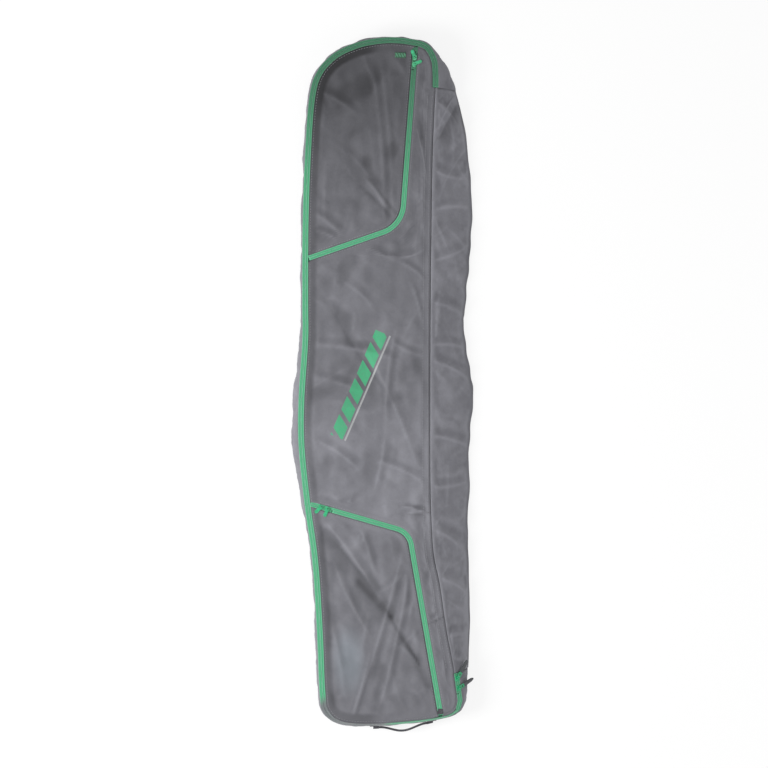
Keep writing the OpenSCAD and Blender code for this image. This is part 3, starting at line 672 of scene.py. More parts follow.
def zip_gusset_piece():
    """The zip gusset: a smooth section carried along the main zip, which turns into the plain
    gusset's slope at both ends. Its wall sags in soft folds that run up and down it, deepest at
    mid height and absent at the zip and on the floor."""
    path = evenly(main_zip, ZIP_STEP)
    n, s = right_of(path), measured(path)
    u8, z8 = gusset_section(path)
    v = np.linspace(0, 7, 30)
    stack = np.stack([u8, z8], 2).transpose(1, 0, 2)
    i = np.minimum(v.astype(int), 6)
    line = cubic(stack, i, (v - i)[:, None, None])
    u, z = line[..., 0].T, line[..., 1].T
    share = (v / 7)[None]
    wall = smooth((share - 0.3) / 0.2) * smooth((1 - share) / 0.16)
    at_end = np.maximum(smooth(1 - s / JOIN), smooth(1 - (s[-1] - s) / JOIN))[:, None]
    down = np.clip((7 - v) / 4, 0, 1)[None]
    plain_u = u8[:, 7:] + (u8[:, 4:5] - u8[:, 7:]) * down
    plain_z = z8[:, 7:] * (1 - 0.6 * down - 0.4 * down**5)
    mix = at_end * (v >= 3)
    u, z = u + (plain_u - u) * mix, z + (plain_z - z) * mix
    along, up = s[:, None] + 0 * z, z * 1.6
    sag = 2.6 * ripples(along, up, 130, 21) + 1.6 * ripples(along, up, 55, 22)
    fine = 0.8 * ripples(along, up * 2, 24, 23)
    u = u + wall * (sag - np.abs(sag) * 0.35 + fine)
    z = np.maximum(z + wall * 0.8 * ripples(along, up, 70, 24), 0.2)
    xy = path[:, None] + n[:, None] * u[..., None]
    points = np.dstack([xy, z])
    uv = np.dstack([along, measured(np.stack([u8.mean(0), z8.mean(0)], 1))[-1] * share + 0 * z])
    flat = np.dstack([along, up])
    marks = {"wear_and_shade": wear_and_shade(flat, wall * sag)}
    obj = mesh("zip_gusset_cloth", points, uv, flip=True, attributes=marks)
    return thicken(obj, CLOTH), area_of(points)


def back_piece():
    """The back's cloth on the floor, inside the fold of the zip gusset and the plain gusset."""
    fold_u = gusset_section(main_zip)[0][:, :1]
    inner_fold = main_zip + right_of(main_zip) * (fold_u - 0.3)
    xy = filled(np.vstack([inner_fold, edge - (4.5, 0)]), 12, 34)
    x, y = xy[..., 0], xy[..., 1]
    fade = smooth((x - x[:, :1]) / 30) * smooth((x[:, -1:] - x) / 30)
    points = np.dstack([xy, 0.5 + 0.35 * ripples(x, y, 90, 31) * fade])
    return thicken(mesh("back_cloth", points, xy, flip=True), BACK_CLOTH), area_of(points)


def pad(name, outline, bottom, top, spacing, columns):
    """A closed pad: two surfaces on the same grid that meet along the outline, with edges rounded
    as a quarter circle. bottom and top give the heights at (x, y)."""
    xy = filled(outline, spacing, columns)
    rim = np.vstack([outline, outline[:1]])
    near = np.clip(distance(xy, evenly(rim, 16)) / PAD_EDGE, 0, 1)
    swell = np.sqrt(np.clip(1 - (1 - near) ** 2, 0, 1))
    swell[0] = swell[-1] = swell[:, 0] = swell[:, -1] = 0
    low, high = bottom(xy), top(xy)
    middle = (low + high) / 2
    upper = np.dstack([xy, middle + swell * (high - middle)])
    lower = np.dstack([xy, middle + swell * (low - middle)])
    loop = np.concatenate([upper, lower[:, ::-1]], axis=1)
    uv = np.concatenate([xy, xy[:, ::-1]], axis=1)
    return mesh(name, loop, uv, wrap=True, weld=True)


def lid_height(xy):
    """Height of the lid's cloth above the floor."""
    return LID_TOP + lid_relief(xy)


def stitches(name, path):
    """A row of stitches on the lid: each a six-sided spindle of four rings, tapered at both ends
    and half sunk in the cloth."""
    pitch, length, width, around = 6.5, 4.2, 0.9, 6
    centres = evenly(path, pitch)[1:-1]
    n = right_of(centres)
    ahead = np.column_stack([-n[:, 1], n[:, 0]])
    angle = np.arange(around) / around * 2 * np.pi
    rings = np.array([-0.5, -0.32, 0.32, 0.5]) * length
    swell = np.array([0.25, 1, 1, 0.25])[:, None] * width / 2
    base = centres[:, None, None] + n[:, None, None] * (swell * np.cos(angle))[None, ..., None]
    base = base + ahead[:, None, None] * rings[None, :, None, None]
    up = (lid_height(centres) + 0.15)[:, None, None] + (swell * np.sin(angle))[None]
    points = np.concatenate([base, up[..., None]], axis=3)
    first = np.arange(len(points))[:, None, None] * len(rings) * around
    ring = first + np.arange(len(rings) - 1)[None, :, None] * around
    c = np.arange(around)[None, None]
    after = (c + 1) % around
    quads = np.stack([ring + c, ring + around + c, ring + around + after, ring + after])
    ends = np.arange(around)
    last = (len(rings) - 1) * around + ends[::-1]
    caps = np.concatenate([first[:, 0] + ends, first[:, 0] + last])
    return put_mesh(name, points, quads.reshape(4, -1).T.tolist() + caps.tolist())


def patch(name, centre, size, lift, thickness):
    """A small flat piece sewn on the lid: a grid that follows the cloth's relief, lifted off it."""
    u, v = np.meshgrid(np.linspace(-0.5, 0.5, 14) * size[0], np.linspace(-0.5, 0.5, 10) * size[1])
    xy = np.dstack([centre[0] + u, centre[1] + v])
    obj = mesh(name, np.dstack([xy, lid_height(xy) + lift]), np.dstack([u, v]))
    return thicken(obj, thickness)


# ---- zips

def half_section(half_width, side):
    """One half of a reversed-coil tape as (u, w): a rounded lip at the slot, a flat middle and a
    slightly raised selvedge. side is 1 for the right half and -1 for the left."""
    outer = half_width - np.array([1.6, 0.7, 0, 0])
    u = np.r_[0.3, 0.3, 0.9, 1.8, 2.6, outer]
    w = np.array([-0.9, -0.15, 0.25, 0.2, 0.0, 0.0, 0.22, 0.1, -0.9])
    return np.column_stack([u * side, w])


def coil_along(name, path, tilts, side, edge_u):
    """One row of coil under the tape: an ellipse carried along the zip, swelling once per turn."""
    pitch, middle = 3.2, (2.3 * side, -2.4)
    path = evenly(path, pitch / 3)
    tilts = tilts(path)
    angle = np.arange(6) / 6 * 2 * np.pi
    section = np.column_stack([middle[0] + 1.25 * np.cos(angle), middle[1] + 1.15 * np.sin(angle)])
    pulse = 1 - 0.3 * np.cos(2 * np.pi * measured(path) / pitch)[:, None]
    def swell(u, w):
        """Scales the ellipse about its middle."""
        return middle[0] + (u - middle[0]) * pulse, middle[1] + (w - middle[1]) * pulse
    return profile_along(name, path, tilts, section, edge_u, wave=swell)


def tape_along(name, path, tilts, side, edge_u):
    """One half of a zip's tape, carried along the zip."""
    path = evenly(path, ZIP_STEP)
    return profile_along(name, path, tilts(path), half_section(edge_u, side), edge_u)


main_length = measured(main_zip)[-1]
main_open = part_of(main_zip, 0, -LID_FIXED - 0.5)
main_parked = part_of(main_zip, main_length - LID_FIXED + 0.5, 0)


# ---- materials

def colour(code):
    """An sRGB hex colour as linear red, green, blue and alpha."""
    c = np.array([int(code[i:i + 2], 16) for i in (1, 3, 5)]) / 255
    linear = np.where(c <= 0.04045, c / 12.92, ((c + 0.055) / 1.055) ** 2.4)
    return (*linear.tolist(), 1.0)


def node(tree, kind, inputs=None, **settings):
    """Adds a node with its settings. An input is a value or another node's output."""
    made = tree.nodes.new("ShaderNode" + kind)
    for name, value in settings.items():
        setattr(made, name, value)
    for name, value in (inputs or {}).items():
        if isinstance(value, bpy.types.NodeSocket):
            tree.links.new(value, made.inputs[name])
        else:
            made.inputs[name].default_value = value
    return made


def blank(name, **values):
    """A material and its tree. Values are for its shader's sockets, by name."""
    made = bpy.data.materials.new(name)
    made.use_nodes = True
    shader = made.node_tree.nodes["Principled BSDF"]
    for key, value in values.items():
        shader.inputs[key.replace("_", " ")].default_value = value
    return made, made.node_tree


def coated(made, base, normal=None):
    """The material, with a colour and a bumped normal led into its shader."""
    tree = made.node_tree
    sockets = tree.nodes["Principled BSDF"].inputs
    tree.links.new(base, sockets["Base Color"])
    if normal is not None:
        tree.links.new(normal, sockets["Normal"])
    return made


def spaces(tree):
    """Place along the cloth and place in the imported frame, both in metres."""
    coords = node(tree, "TexCoord")
    return coords.outputs["UV"], coords.outputs["Object"]


def stored(tree, name):
    """A value that the mesh keeps at each of its points."""
    return node(tree, "Attribute", attribute_name=name).outputs["Fac"]


def maths(tree, operation, *values, clamp=False):
    """The result of one Math node."""
    made = node(tree, "Math", dict(enumerate(values)), operation=operation, use_clamp=clamp)
    return made.outputs[0]


def times(tree, a, b):
    """a * b."""
    return maths(tree, "MULTIPLY", a, b)


def scaled(tree, value, factor, added, clamp=False):
    """value * factor + added."""
    return maths(tree, "MULTIPLY_ADD", value, factor, added, clamp=clamp)


def within(tree, value, limit):
    """1 where a value's size is below the limit, and 0 elsewhere."""
    return maths(tree, "LESS_THAN", maths(tree, "ABSOLUTE", value), limit)


def bars(tree, value, pitch, gap):
    """1 in bars that repeat at a pitch, of which gap is the empty share."""
    share = maths(tree, "FRACT", maths(tree, "DIVIDE", value, pitch))
    return maths(tree, "GREATER_THAN", share, gap)


def bands(tree, vector, period, direction, distortion=0.0):
    """Stripes of a period in millimetres: the wave node's own period is 2 pi / 20 at scale 1."""
    inputs = {"Vector": vector, "Scale": 2 * np.pi / 20 / (period * MM), "Distortion": distortion}
    return node(tree, "TexWave", inputs, bands_direction=direction).outputs["Fac"]


def grain(tree, vector, size, **settings):
    """Noise whose features are about size millimetres across."""
    inputs = {"Vector": vector, "Scale": 1 / (size * MM), "Detail": settings.pop("detail", 4.0)}
    inputs["Distortion"] = settings.pop("distortion", 0.0)
    return node(tree, "TexNoise", inputs, **settings).outputs["Fac"]


def ramp(tree, factor, stops):
    """Colours at places from 0 to 1."""
    made = node(tree, "ValToRGB", {"Fac": factor})
    elements = made.color_ramp.elements
    while len(elements) < len(stops):
        elements.new(0.5)
    for element, (place, code) in zip(elements, stops):
        element.position = place
        element.color = colour(code)
    return made.outputs["Color"]


def mixed(tree, factor, a, b, blend="MIX"):
    """Colour b laid over colour a by a factor."""
    inputs = {0: factor, 6: a, 7: b}
    return node(tree, "Mix", inputs, data_type="RGBA", blend_type=blend).outputs[2]


def bump(tree, height, distance, strength, under=None):
    """A normal bent by a height, over a distance in millimetres, on top of another normal."""
    inputs = {"Height": height, "Distance": distance * MM, "Strength": strength}
    if under is not None:
        inputs["Normal"] = under
    return node(tree, "Bump", inputs).outputs["Normal"]


def region(tree, place, centre, size, softness):
    """1 inside an ellipse in the plane and 0 outside, fading over a share of its radius."""
    moved = node(tree, "Mapping", {
        "Vector": place,
        "Location": (-centre[0] / size[0], -centre[1] / size[1], 0),
        "Scale": (1 / (size[0] * MM), 1 / (size[1] * MM), 0),
    }).outputs[0]
    radius = node(tree, "VectorMath", {0: moved}, operation="LENGTH").outputs["Value"]
    return node(tree, "MapRange", {"Value": radius, "From Min": 1.0, "From Max": 1.0 - softness},
                interpolation_type="SMOOTHSTEP").outputs[0]


def polyester(name, print_on=False, faded=False):
    """600-denier plain-weave polyester with a coated back: matt, with a fine two-tone check, paler
    where creases rub, and darker where painted shade is laid on: in hollows, at the nose and its left
    side, towards the foot and in the dark folds. Threads of 0.5 mm are drawn at 1.5 mm, so they show."""
    made, tree = blank(name, Roughness=0.8, Sheen_Weight=0.12, Sheen_Roughness=0.4,
                       Specular_IOR_Level=0.35)
    cloth, place = spaces(tree)
    threads = times(tree, bands(tree, cloth, 1.5, "X", 0.4), bands(tree, cloth, 1.5, "Y", 0.4))
    mottle = grain(tree, place, 90, detail=6.0)
    crinkle = grain(tree, place, 42, detail=5.0, noise_type="RIDGED_MULTIFRACTAL")
    small = grain(tree, place, 9, detail=5.0, distortion=0.6)
    # Paler on ridges as wear, darker in hollows as painted shade.
    tone = scaled(tree, stored(tree, "wear_and_shade"), 0.20, 0.5)
    tone = scaled(tree, maths(tree, "SUBTRACT", mottle, 0.5), 0.42, tone)
    tone = scaled(tree, maths(tree, "SUBTRACT", small, 0.5), 0.16, tone)
    tone = scaled(tree, threads, 0.10, tone, clamp=True)
    base = ramp(tree, tone, [(0.0, "#505056"), (0.5, "#727278"), (1.0, "#929299")])
    # Painted shade and painted shadow, stored on the mesh, darken the colour here.
    unshaded_share = maths(tree, "SUBTRACT", 1.0, stored(tree, "painted_shade"))
    base = mixed(tree, 1.0, base, unshaded_share, "MULTIPLY")
    if faded:
        worn_patch = region(tree, place, (-85, -655), (52, 106), 0.8)
        base = mixed(tree, times(tree, worn_patch, 0.35), base, colour("#8a949c"))
    if print_on:
        base = slanted_bars(tree, place, base, small)
    normal = bump(tree, crinkle, 2.2, 0.35)
    normal = bump(tree, small, 0.9, 0.45, normal)
    return coated(made, base, bump(tree, threads, 0.25, 0.5, normal))


def slanted_bars(tree, place, base, rough):
    """A plain screen print: green bars in a narrow strip that leans to the right, with a pale grey
    line beside it, both thinned a little where the cloth is rough."""
    middle, lean = (-0.0595, 0.0035), (0.396, 0.918)
    half_length, half_width, pitch, gap, slant = 0.136, 0.0155, 0.047, 0.26, 0.7
    line_at, half_line = 0.022, 0.0022
    axes = node(tree, "SeparateXYZ", {0: place})
    x, y = (maths(tree, "SUBTRACT", axes.outputs[k], middle[k]) for k in (0, 1))
    along = scaled(tree, x, lean[0], times(tree, y, lean[1]))
    across = scaled(tree, x, lean[1], times(tree, y, -lean[0]))
    inside = within(tree, along, half_length)
    bar = bars(tree, scaled(tree, across, slant, along), pitch, gap)
    strip = within(tree, across, half_width)
    line = within(tree, maths(tree, "SUBTRACT", across, line_at), half_line)
    ink = scaled(tree, rough, -0.5, 1.1, clamp=True)
    green = times(tree, times(tree, bar, strip), times(tree, inside, ink))
    grey_line = times(tree, times(tree, line, inside), times(tree, ink, 0.8))
    base = mixed(tree, grey_line, base, colour("#a9abab"))
    return mixed(tree, green, base, colour("#3fa172"))


def zip_tape(name):
    """Woven polyester zip tape, dyed green: a fine herringbone, with a painted highlight on the raised
    lips at the slot and on the selvedge, painted shade at its outer edge and more and more painted
    shade towards the nose, and grey at the left foot corner. The herringbone of 0.8 mm is drawn at
    2.4 mm."""
    made, tree = blank(name, Roughness=0.62, Sheen_Weight=0.2)
    cloth, place = spaces(tree)
    axes = node(tree, "SeparateXYZ", {0: cloth})
    zigzag = maths(tree, "PINGPONG", axes.outputs[1], 1.6 * MM)
    lean = node(tree, "CombineXYZ", {0: maths(tree, "ADD", axes.outputs[0], zigzag)}).outputs[0]
    weave = bands(tree, lean, 2.4, "X")
    # Painted highlight on the raised lips at the slot and on the selvedge, painted shade at the outer
    # edge.
    base = ramp(tree, stored(tree, "across"), [
        (0.04, "#93d6b2"), (0.16, "#5cb088"), (0.34, "#3b9a6c"), (0.72, "#3d9f70"),
        (0.95, "#7fc6a2"), (1.0, "#3f6d58")])
    # Painted shade, darker towards the nose.
    tape_nose_shade = node(tree, "MapRange", {
        "Value": node(tree, "SeparateXYZ", {0: place}).outputs[1],
        "From Min": 0.40, "From Max": 0.80, "To Min": 1.0, "To Max": 0.40,
    }, interpolation_type="SMOOTHSTEP").outputs[0]
    shade = times(tree, scaled(tree, weave, 0.22, 0.78), tape_nose_shade)
    base = mixed(tree, 1.0, base, shade, "MULTIPLY")
    corner = region(tree, place, (-85, -800), (112, 78), 0.3)
    base = mixed(tree, times(tree, corner, 0.95), base, colour("#636368"))
    return coated(made, base, bump(tree, weave, 0.3, 0.6))


def nylon_coil(name):
    """Spun nylon coil, dyed green: smooth and slightly glossy."""
    made, tree = blank(name, Roughness=0.4)
    tone = grain(tree, spaces(tree)[1], 12)
    return coated(made, ramp(tree, tone, [(0.2, "#2f9a64"), (0.8, "#3fb57a")]))


def enamel(name):
    """Die-cast zinc with a thin green enamel: glossy, with a faint orange peel and a few scuffs."""
    made, tree = blank(name, Roughness=0.28, Coat_Weight=0.4, Coat_Roughness=0.15)
    place = spaces(tree)[1]
    peel, scuff = grain(tree, place, 1.2), grain(tree, place, 5, detail=8.0)
    base = ramp(tree, scuff, [(0.3, "#148a57"), (0.55, "#1da06a"), (0.8, "#3fbd8a")])
    return coated(made, base, bump(tree, peel, 0.08, 0.4))


def moulded_rubber(name):
    """Moulded thermoplastic rubber: dark grey, satin, with a fine spark-eroded grain."""
    made, tree = blank(name, Roughness=0.55)
    place = spaces(tree)[1]
    fine, broad = grain(tree, place, 0.8), grain(tree, place, 10)
    base = ramp(tree, broad, [(0.3, "#37393c"), (0.7, "#4d5053")])
    return coated(made, base, bump(tree, fine, 0.12, 0.5))


def webbing(name):
    """Woven polypropylene webbing: ribs across the strap, lengthwise rows and a soft sheen. Ribs of
    1 mm are drawn at 2 mm."""
    made, tree = blank(name, Roughness=0.7, Sheen_Weight=0.2)
    cloth, place = spaces(tree)
    ribs = times(tree, bands(tree, cloth, 2.0, "X"), bands(tree, cloth, 2.6, "Y"))
    tone = scaled(tree, ribs, 0.5, times(tree, grain(tree, place, 14), 0.5))
    base = ramp(tree, tone, [(0.1, "#2b2b30"), (0.9, "#4a4a50")])
    return coated(made, base, bump(tree, ribs, 0.4, 0.7))


def lining(name):
    """Coated nylon lining: dark grey, with a ripstop grid of 6 mm and small soft wrinkles."""
    made, tree = blank(name, Roughness=0.5, Sheen_Weight=0.1)
    cloth, place = spaces(tree)
    grid = maths(tree, "MAXIMUM", bands(tree, cloth, 6, "X"), bands(tree, cloth, 6, "Y"))
    lines = maths(tree, "GREATER_THAN", grid, 0.985)
    wrinkles = grain(tree, place, 30, detail=5.0, noise_type="RIDGED_MULTIFRACTAL")
    tone = scaled(tree, lines, 0.35, times(tree, wrinkles, 0.4))
    base = ramp(tree, tone, [(0.0, "#35373b"), (1.0, "#55585e")])
    return coated(made, base, bump(tree, lines, 0.15, 0.4, bump(tree, wrinkles, 1.6, 0.4)))


def thread(name):
    """Bonded polyester sewing thread: fine twisted plies with a slight shine."""
    made, tree = blank(name, Roughness=0.5)
    plies = grain(tree, spaces(tree)[1], 0.8)
    base = mixed(tree, 1.0, colour("#85858a"), scaled(tree, plies, 0.4, 0.8), "MULTIPLY")
    return coated(made, base, bump(tree, plies, 0.1, 0.5))


def woven_stripes(name):
    """Damask label woven in two greens: plain bars across it and a dark border."""
    made, tree = blank(name, Roughness=0.6, Sheen_Weight=0.2)
    pitch, gap, half_height = 0.0065, 0.5, 0.0042
    cloth = spaces(tree)[0]
    axes = node(tree, "SeparateXYZ", {0: cloth})
    slope = scaled(tree, axes.outputs[1], 0.5, axes.outputs[0])
    mask = times(tree, bars(tree, slope, pitch, gap), within(tree, axes.outputs[1], half_height))
    threads = bands(tree, cloth, 0.8, "Y")
    base = mixed(tree, mask, colour("#274d39"), colour("#478a66"))
    base = mixed(tree, 1.0, base, scaled(tree, threads, 0.25, 0.8), "MULTIPLY")
    return coated(made, base, bump(tree, threads, 0.1, 0.5))


def painted(obj, material):
    """Gives a piece its one material."""
    obj.data.materials.clear()
    obj.data.materials.append(material)


grey = polyester("woven_polyester_grey")
grey_printed = polyester("woven_polyester_grey_printed", print_on=True)
grey_faded = polyester("woven_polyester_grey_faded", faded=True)
green_tape = zip_tape("zip_tape_green")
green_coil = nylon_coil("nylon_coil_green")
green_enamel = enamel("enamelled_zinc_green")
rubber = moulded_rubber("moulded_rubber_grey")
strap = webbing("webbing_dark")
dark_lining = lining("coated_nylon_lining")
grey_thread = thread("sewing_thread_grey")
label_weave = woven_stripes("damask_label")


# ---- camera, light and floor

camera = put("camera", bpy.data.cameras.new("camera"))
camera.data.lens = 85
camera.location = (0.0, 0.005, 4.33 + LID_TOP * MM)  # straight above, at that distance from the lid
camera.data.clip_end = 20
bpy.context.scene.camera = camera
bpy.context.scene.view_settings.view_transform = "Standard"


def lamp(name, place, size, power):
    """A square soft lamp that faces the middle of the bag."""
    made = put(name, bpy.data.lights.new(name, "AREA"))
    made.data.size = size
    made.data.energy = power
    made.location = place
    aim = -np.array(place) + (0, 0, 0.03)
    flat = np.hypot(aim[0], aim[1])
    made.rotation_euler = (np.arctan2(flat, -aim[2]), 0, np.arctan2(aim[1], aim[0]) - np.pi / 2)


lamp("key", (-2.5, -0.6, 1.8), 1.3, 96)
lamp("fill", (2.4, -1.8, 2.6), 2.4, 30)
lamp("top", (0.3, 0.6, 3.8), 2.0, 26)

world = bpy.data.worlds.new("studio")
bpy.context.scene.world = world
world.use_nodes = True
sky = world.node_tree
rays = node(sky, "LightPath")
seen = maths(sky, "MAXIMUM", rays.outputs["Is Camera Ray"], rays.outputs["Is Glossy Ray"])
background = sky.nodes["Background"]
background.inputs["Color"].default_value = (1, 1, 1, 1)
sky.links.new(scaled(sky, seen, 0.55, 0.45), background.inputs["Strength"])


def floor():
    """A pale floor that the camera sees as white away from the bag and shaded close to it."""
    data = bpy.data.meshes.new("floor")
    half, low = 9.0, -0.0006
    corners = [(-half, -half, low), (half, -half, low), (half, half, low), (-half, half, low)]
    data.from_pydata(corners, [], [(0, 1, 2, 3)])
    finish, tree = blank("matt_white_floor", Roughness=0.9, Base_Color=colour("#f4f4f4"))
    seen = node(tree, "LightPath").outputs["Is Camera Ray"]
    white = node(tree, "MixShader", {
        0: times(tree, seen, 0.80),
        1: tree.nodes["Principled BSDF"].outputs[0],
        2: node(tree, "Emission", {"Strength": 1.0}).outputs[0],
    })
    tree.links.new(white.outputs[0], tree.nodes["Material Output"].inputs["Surface"])
    data.materials.append(finish)
    put("floor", data)


floor()


# ---- the bag


def on_hinge(obj):
    """Cloth beside the lid's hinge: its transform is baked into its mesh, and it is attached to no
    body.
    """
    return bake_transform(obj)


def on_fold(obj):
    """Pocket cloth over its fold: its transform is baked into its mesh, and it is attached to no body.
    """
    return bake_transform(obj)


lid_cloth, lid_area = lid_piece("lid_cloth", lid_outline, 78, steps=(UPPER_END_Y, LOWER_END_Y))
painted(lid_cloth, grey_printed)
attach(lid_cloth, "lid")
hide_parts("lid_panel")

upper_cloth, upper_area = lid_piece("upper_pocket_cloth", upper_outline, 56)
painted(upper_cloth, grey)
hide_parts("upper_pocket_panel", "upper_pocket_flap")
on_fold(upper_cloth)

lower_cloth, lower_area = lid_piece("lower_pocket_cloth", lower_outline, 62)
painted(lower_cloth, grey_faded)
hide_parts("lower_pocket_panel", "lower_pocket_flap")
on_fold(lower_cloth)

plain, plain_area = plain_gusset_piece()
painted(plain, grey)
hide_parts("plain_gusset")
on_hinge(plain)

wall, wall_area = zip_gusset_piece()
painted(wall, grey)
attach(wall, "base")
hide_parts("zip_gusset")

back, back_area = back_piece()
painted(back, grey)
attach(back, "base")
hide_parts("back_panel")


def inset(outline_path, distance_in):
    """An outline moved inwards, without the points that a tight corner would cross over."""
    moved = beside(outline_path, -distance_in)
    return moved[distance(moved, evenly(outline_path, 6)) > distance_in - 1]


def sag(xy, wavelength, seed, height):
    """Soft unevenness of a pad, of that height."""
    return height * ripples(xy[..., 0], xy[..., 1], wavelength, seed)


def pocket_depth(xy, path):
    """Distance from a pocket's zip, positive on the lid's side of it and negative in the pocket."""
    return distance(xy, path) * nearest(xy, reaching(path, 1000))[1]


def lid_pad_top(xy):
    """Top of the foam: under a pocket at the pocket's floor, and elsewhere close under the cloth."""
    inside = np.min([pocket_depth(xy, upper_zip), pocket_depth(xy, lower_zip)], axis=0)
    return POCKET_FLOOR + PAD_RISE * smooth(inside / 12) + sag(xy, 70, 42, 0.4)


pad_outline = np.vstack([seam - (PAD_INSET, 0), inset(evenly(main_zip, PAD_STEP), TAPE_W + PAD_INSET)])
lid_pad = pad("lid_pad", pad_outline, lambda xy: PAD_BOTTOM - sag(xy, 80, 41, 0.7), lid_pad_top,
              8, 44)
painted(lid_pad, dark_lining)
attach(lid_pad, "lid")
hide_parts("lid_padding", "lid_upper_padding", "lid_lining", "upper_pocket_backing",
            "lower_pocket_backing")

floor_line = evenly(main_zip, PAD_STEP)
back_fold = gusset_section(floor_line)[0][:, :1]
floor_line = floor_line + right_of(floor_line) * (back_fold - BACK_INSET)
back_pad = pad("back_pad", np.vstack([floor_line, edge - (BACK_INSET + 6, 0)]),
               lambda xy: BACK_PAD_BOTTOM + 0 * xy[..., 0],
               lambda xy: BACK_PAD_TOP + sag(xy, 80, 43, 0.6), 9, 36)
painted(back_pad, dark_lining)
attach(back_pad, "base")
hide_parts("back_padding", "back_lining")


def moves(obj, body, fold=None):
    """The piece is attached to its body, or, over a pocket's fold, has its transform baked."""
    if fold:
        on_fold(obj)
    else:
        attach(obj, body)


def zip_part(obj, kind, body, packed, fold=None):
    """Finishes a tape or a coil with the material of its kind."""
    painted(obj, {"green_tape": green_tape, "green_coil": green_coil}[kind])
    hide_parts(packed)
    moves(obj, body, fold)


# The main zip: the base's half, the lid's half, and the short stretch that stays shut.
tape_base = joined("main_zip_tape_base_half", [
    tape_along("outer_half", main_zip, main_tilt, 1, TAPE_W),
    tape_along("parked_half", main_parked, main_tilt, -1, TAPE_W),
])
zip_part(tape_base, "green_tape", "base", "main_zip_tape_base")
tape_lid = tape_along("main_zip_tape_lid_half", main_open, main_tilt, -1, TAPE_W)
zip_part(tape_lid, "green_tape", "lid", "main_zip_tape_lid")
coil_path = part_of(main_zip, 6, -6)
coil_base = coil_along("main_zip_coil_base_row", coil_path, main_tilt, 1, TAPE_W)
zip_part(coil_base, "green_coil", "base", "main_zip_coil_base")
coil_path = part_of(main_zip, 8, -LID_FIXED - 6)
coil_lid = coil_along("main_zip_coil_lid_row", coil_path, main_tilt, -1, TAPE_W)
zip_part(coil_lid, "green_coil", "lid", "main_zip_coil_lid")


def pocket_zip(name, path, body, fold):
    """One pocket's zip: its outer half and first stretch attached to the lid, the rest given the
    flap's fold, which only bakes their transform. Its tape runs on at both ends until it meets the
    main zip's."""
    zip_name, width = name + "_zip", POCKET_TAPE_W
    long_path = reaching(path, TAPE_REACH)
    start = TAPE_REACH + FLAP_START
    tape = joined(zip_name + "_tape_lid_side", [
        tape_along("outer_half", long_path, level, -1, width),
        tape_along("first_half", part_of(long_path, 0, start - 0.5), level, 1, width),
    ])
    zip_part(tape, "green_tape", "lid", zip_name + "_tape_fixed")
    opening = part_of(long_path, start + 0.5, 0)
    tape = tape_along(zip_name + "_tape_flap_side", opening, level, 1, width)
    zip_part(tape, "green_tape", body, zip_name + "_tape_flap", fold)
    coil = coil_along(zip_name + "_coil_lid_side", part_of(path, 5, -5), level, -1, width)
    zip_part(coil, "green_coil", "lid", zip_name + "_coil_fixed")
    opening = part_of(path, FLAP_START + 5, -5)
    coil = coil_along(zip_name + "_coil_flap_side", opening, level, 1, width)
    zip_part(coil, "green_coil", body, zip_name + "_coil_flap", fold)


pocket_zip("upper", upper_zip, "upper_flap", UPPER_FOLD)
pocket_zip("lower", lower_zip, "lower_flap", LOWER_FOLD)

# Haul handle: the strap runs between its sewn ends in a shallow arc. Its section is a rectangle
# with rounded ends, from the square roots of a sine and a cosine.
t = np.linspace(0, 1, 60)[:, None]
bow = (0, 1) * (1 - np.cos(2 * np.pi * t)) * HANDLE_BOW
handle_path = HANDLE_ENDS[0] * (1 - t) + HANDLE_ENDS[1] * t - bow
angle = np.arange(20) / 20 * 2 * np.pi
turned = np.column_stack([np.cos(angle), np.sin(angle)])
strap_section = np.sign(turned) * np.abs(turned) ** 0.5 * (2.0, 6.2)
handle = profile_along("haul_handle_strap", handle_path, level(handle_path), strap_section,
                       base_z=HANDLE_Z)
painted(handle, strap)
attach(handle, "handle")
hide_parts("haul_handle")

label = patch("woven_label_sewn", (39, 790), (26, 14), 0.8, 0.7)
painted(label, label_weave)
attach(label, "lid")
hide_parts("woven_label")
end_tab = patch("lower_zip_end_tab", (134.5, -777), (12, 13), 1.0, 1.0)
painted(end_tab, strap)
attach(end_tab, "lid")
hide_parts("lower_zip_tab")


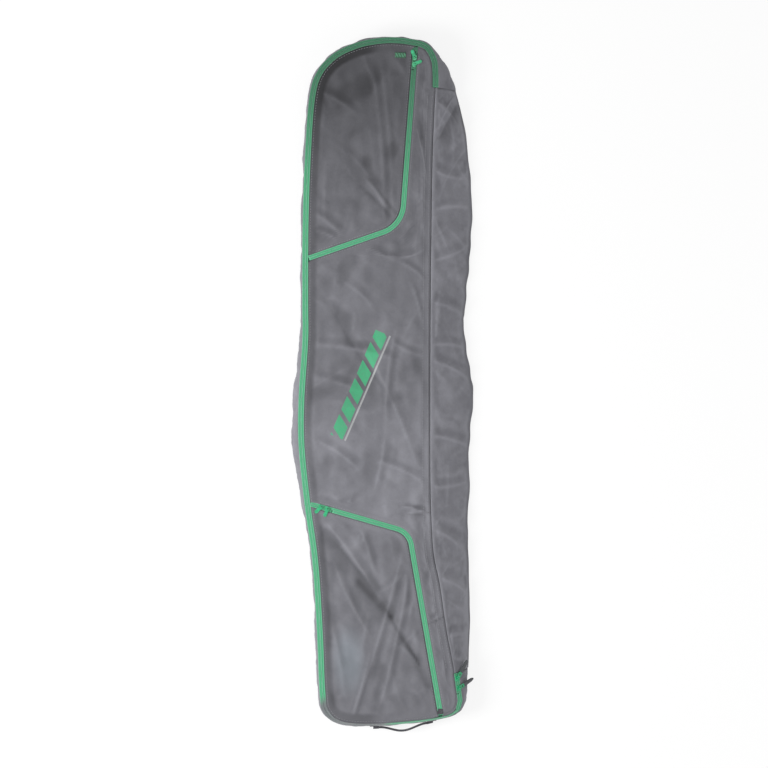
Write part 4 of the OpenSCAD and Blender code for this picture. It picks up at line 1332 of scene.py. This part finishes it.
def sewn(name, path, body, fold=None):
    """A row of stitches beside a zip or a seam."""
    row = stitches(name, path)
    painted(row, grey_thread)
    moves(row, body, fold)


POCKET_STITCHES = POCKET_TAPE_W + STITCH_GAP
lid_rows = [
    ("seam_stitches", seam[2:-2] - (SEAM_GAPS[0], 0)),
    ("seam_stitches_inner", seam[2:-2] - (SEAM_GAPS[1], 0)),
    ("upper_zip_stitches", beside(upper_zip, -POCKET_STITCHES)),
    ("lower_zip_stitches", beside(lower_zip, -POCKET_STITCHES)),
    ("main_zip_stitches_side", beside(inner_edge[upper_break:lower_break], -STITCH_GAP)),
]
for name, row_path in lid_rows:
    sewn(name, row_path, "lid")
sewn("upper_pocket_stitches_edge", beside(upper_side, -STITCH_GAP), "upper_flap", UPPER_FOLD)
sewn("lower_pocket_stitches_edge", beside(lower_side, -STITCH_GAP), "lower_flap", LOWER_FOLD)
sewn("upper_pocket_stitches_zip", beside(upper_zip, POCKET_STITCHES), "upper_flap", UPPER_FOLD)
sewn("lower_pocket_stitches_zip", beside(lower_zip, POCKET_STITCHES), "lower_flap", LOWER_FOLD)


# Sliders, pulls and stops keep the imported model's shape, with their edges eased.
def eased(name, material, radius):
    """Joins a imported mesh's doubled points and rounds its edges."""
    obj = bpy.data.objects[name]
    weld = obj.modifiers.new("weld", "WELD")
    weld.merge_threshold = 0.00001
    rounding = obj.modifiers.new("eased_edges", "BEVEL")
    rounding.width = radius * MM
    rounding.segments = 2
    rounding.limit_method = "ANGLE"
    rounding.angle_limit = 0.6
    painted(obj, material)


metal = ["main_slider_a", "main_slider_b", "upper_slider_a", "upper_slider_b", "lower_slider_a",
         "lower_slider_b", "main_link_a", "main_link_b", "upper_pull_a", "upper_pull_b",
         "lower_pull_a", "lower_pull_b"]
for name in metal:
    eased(name, green_enamel, 0.35)
for name in ("main_tab_a", "main_tab_b"):
    eased(name, rubber, 0.9)
for name in ("main_zip_stops", "upper_zip_stops", "lower_zip_stops"):
    eased(name, green_coil, 0.3)
eased("handle_anchors", strap, 0.8)
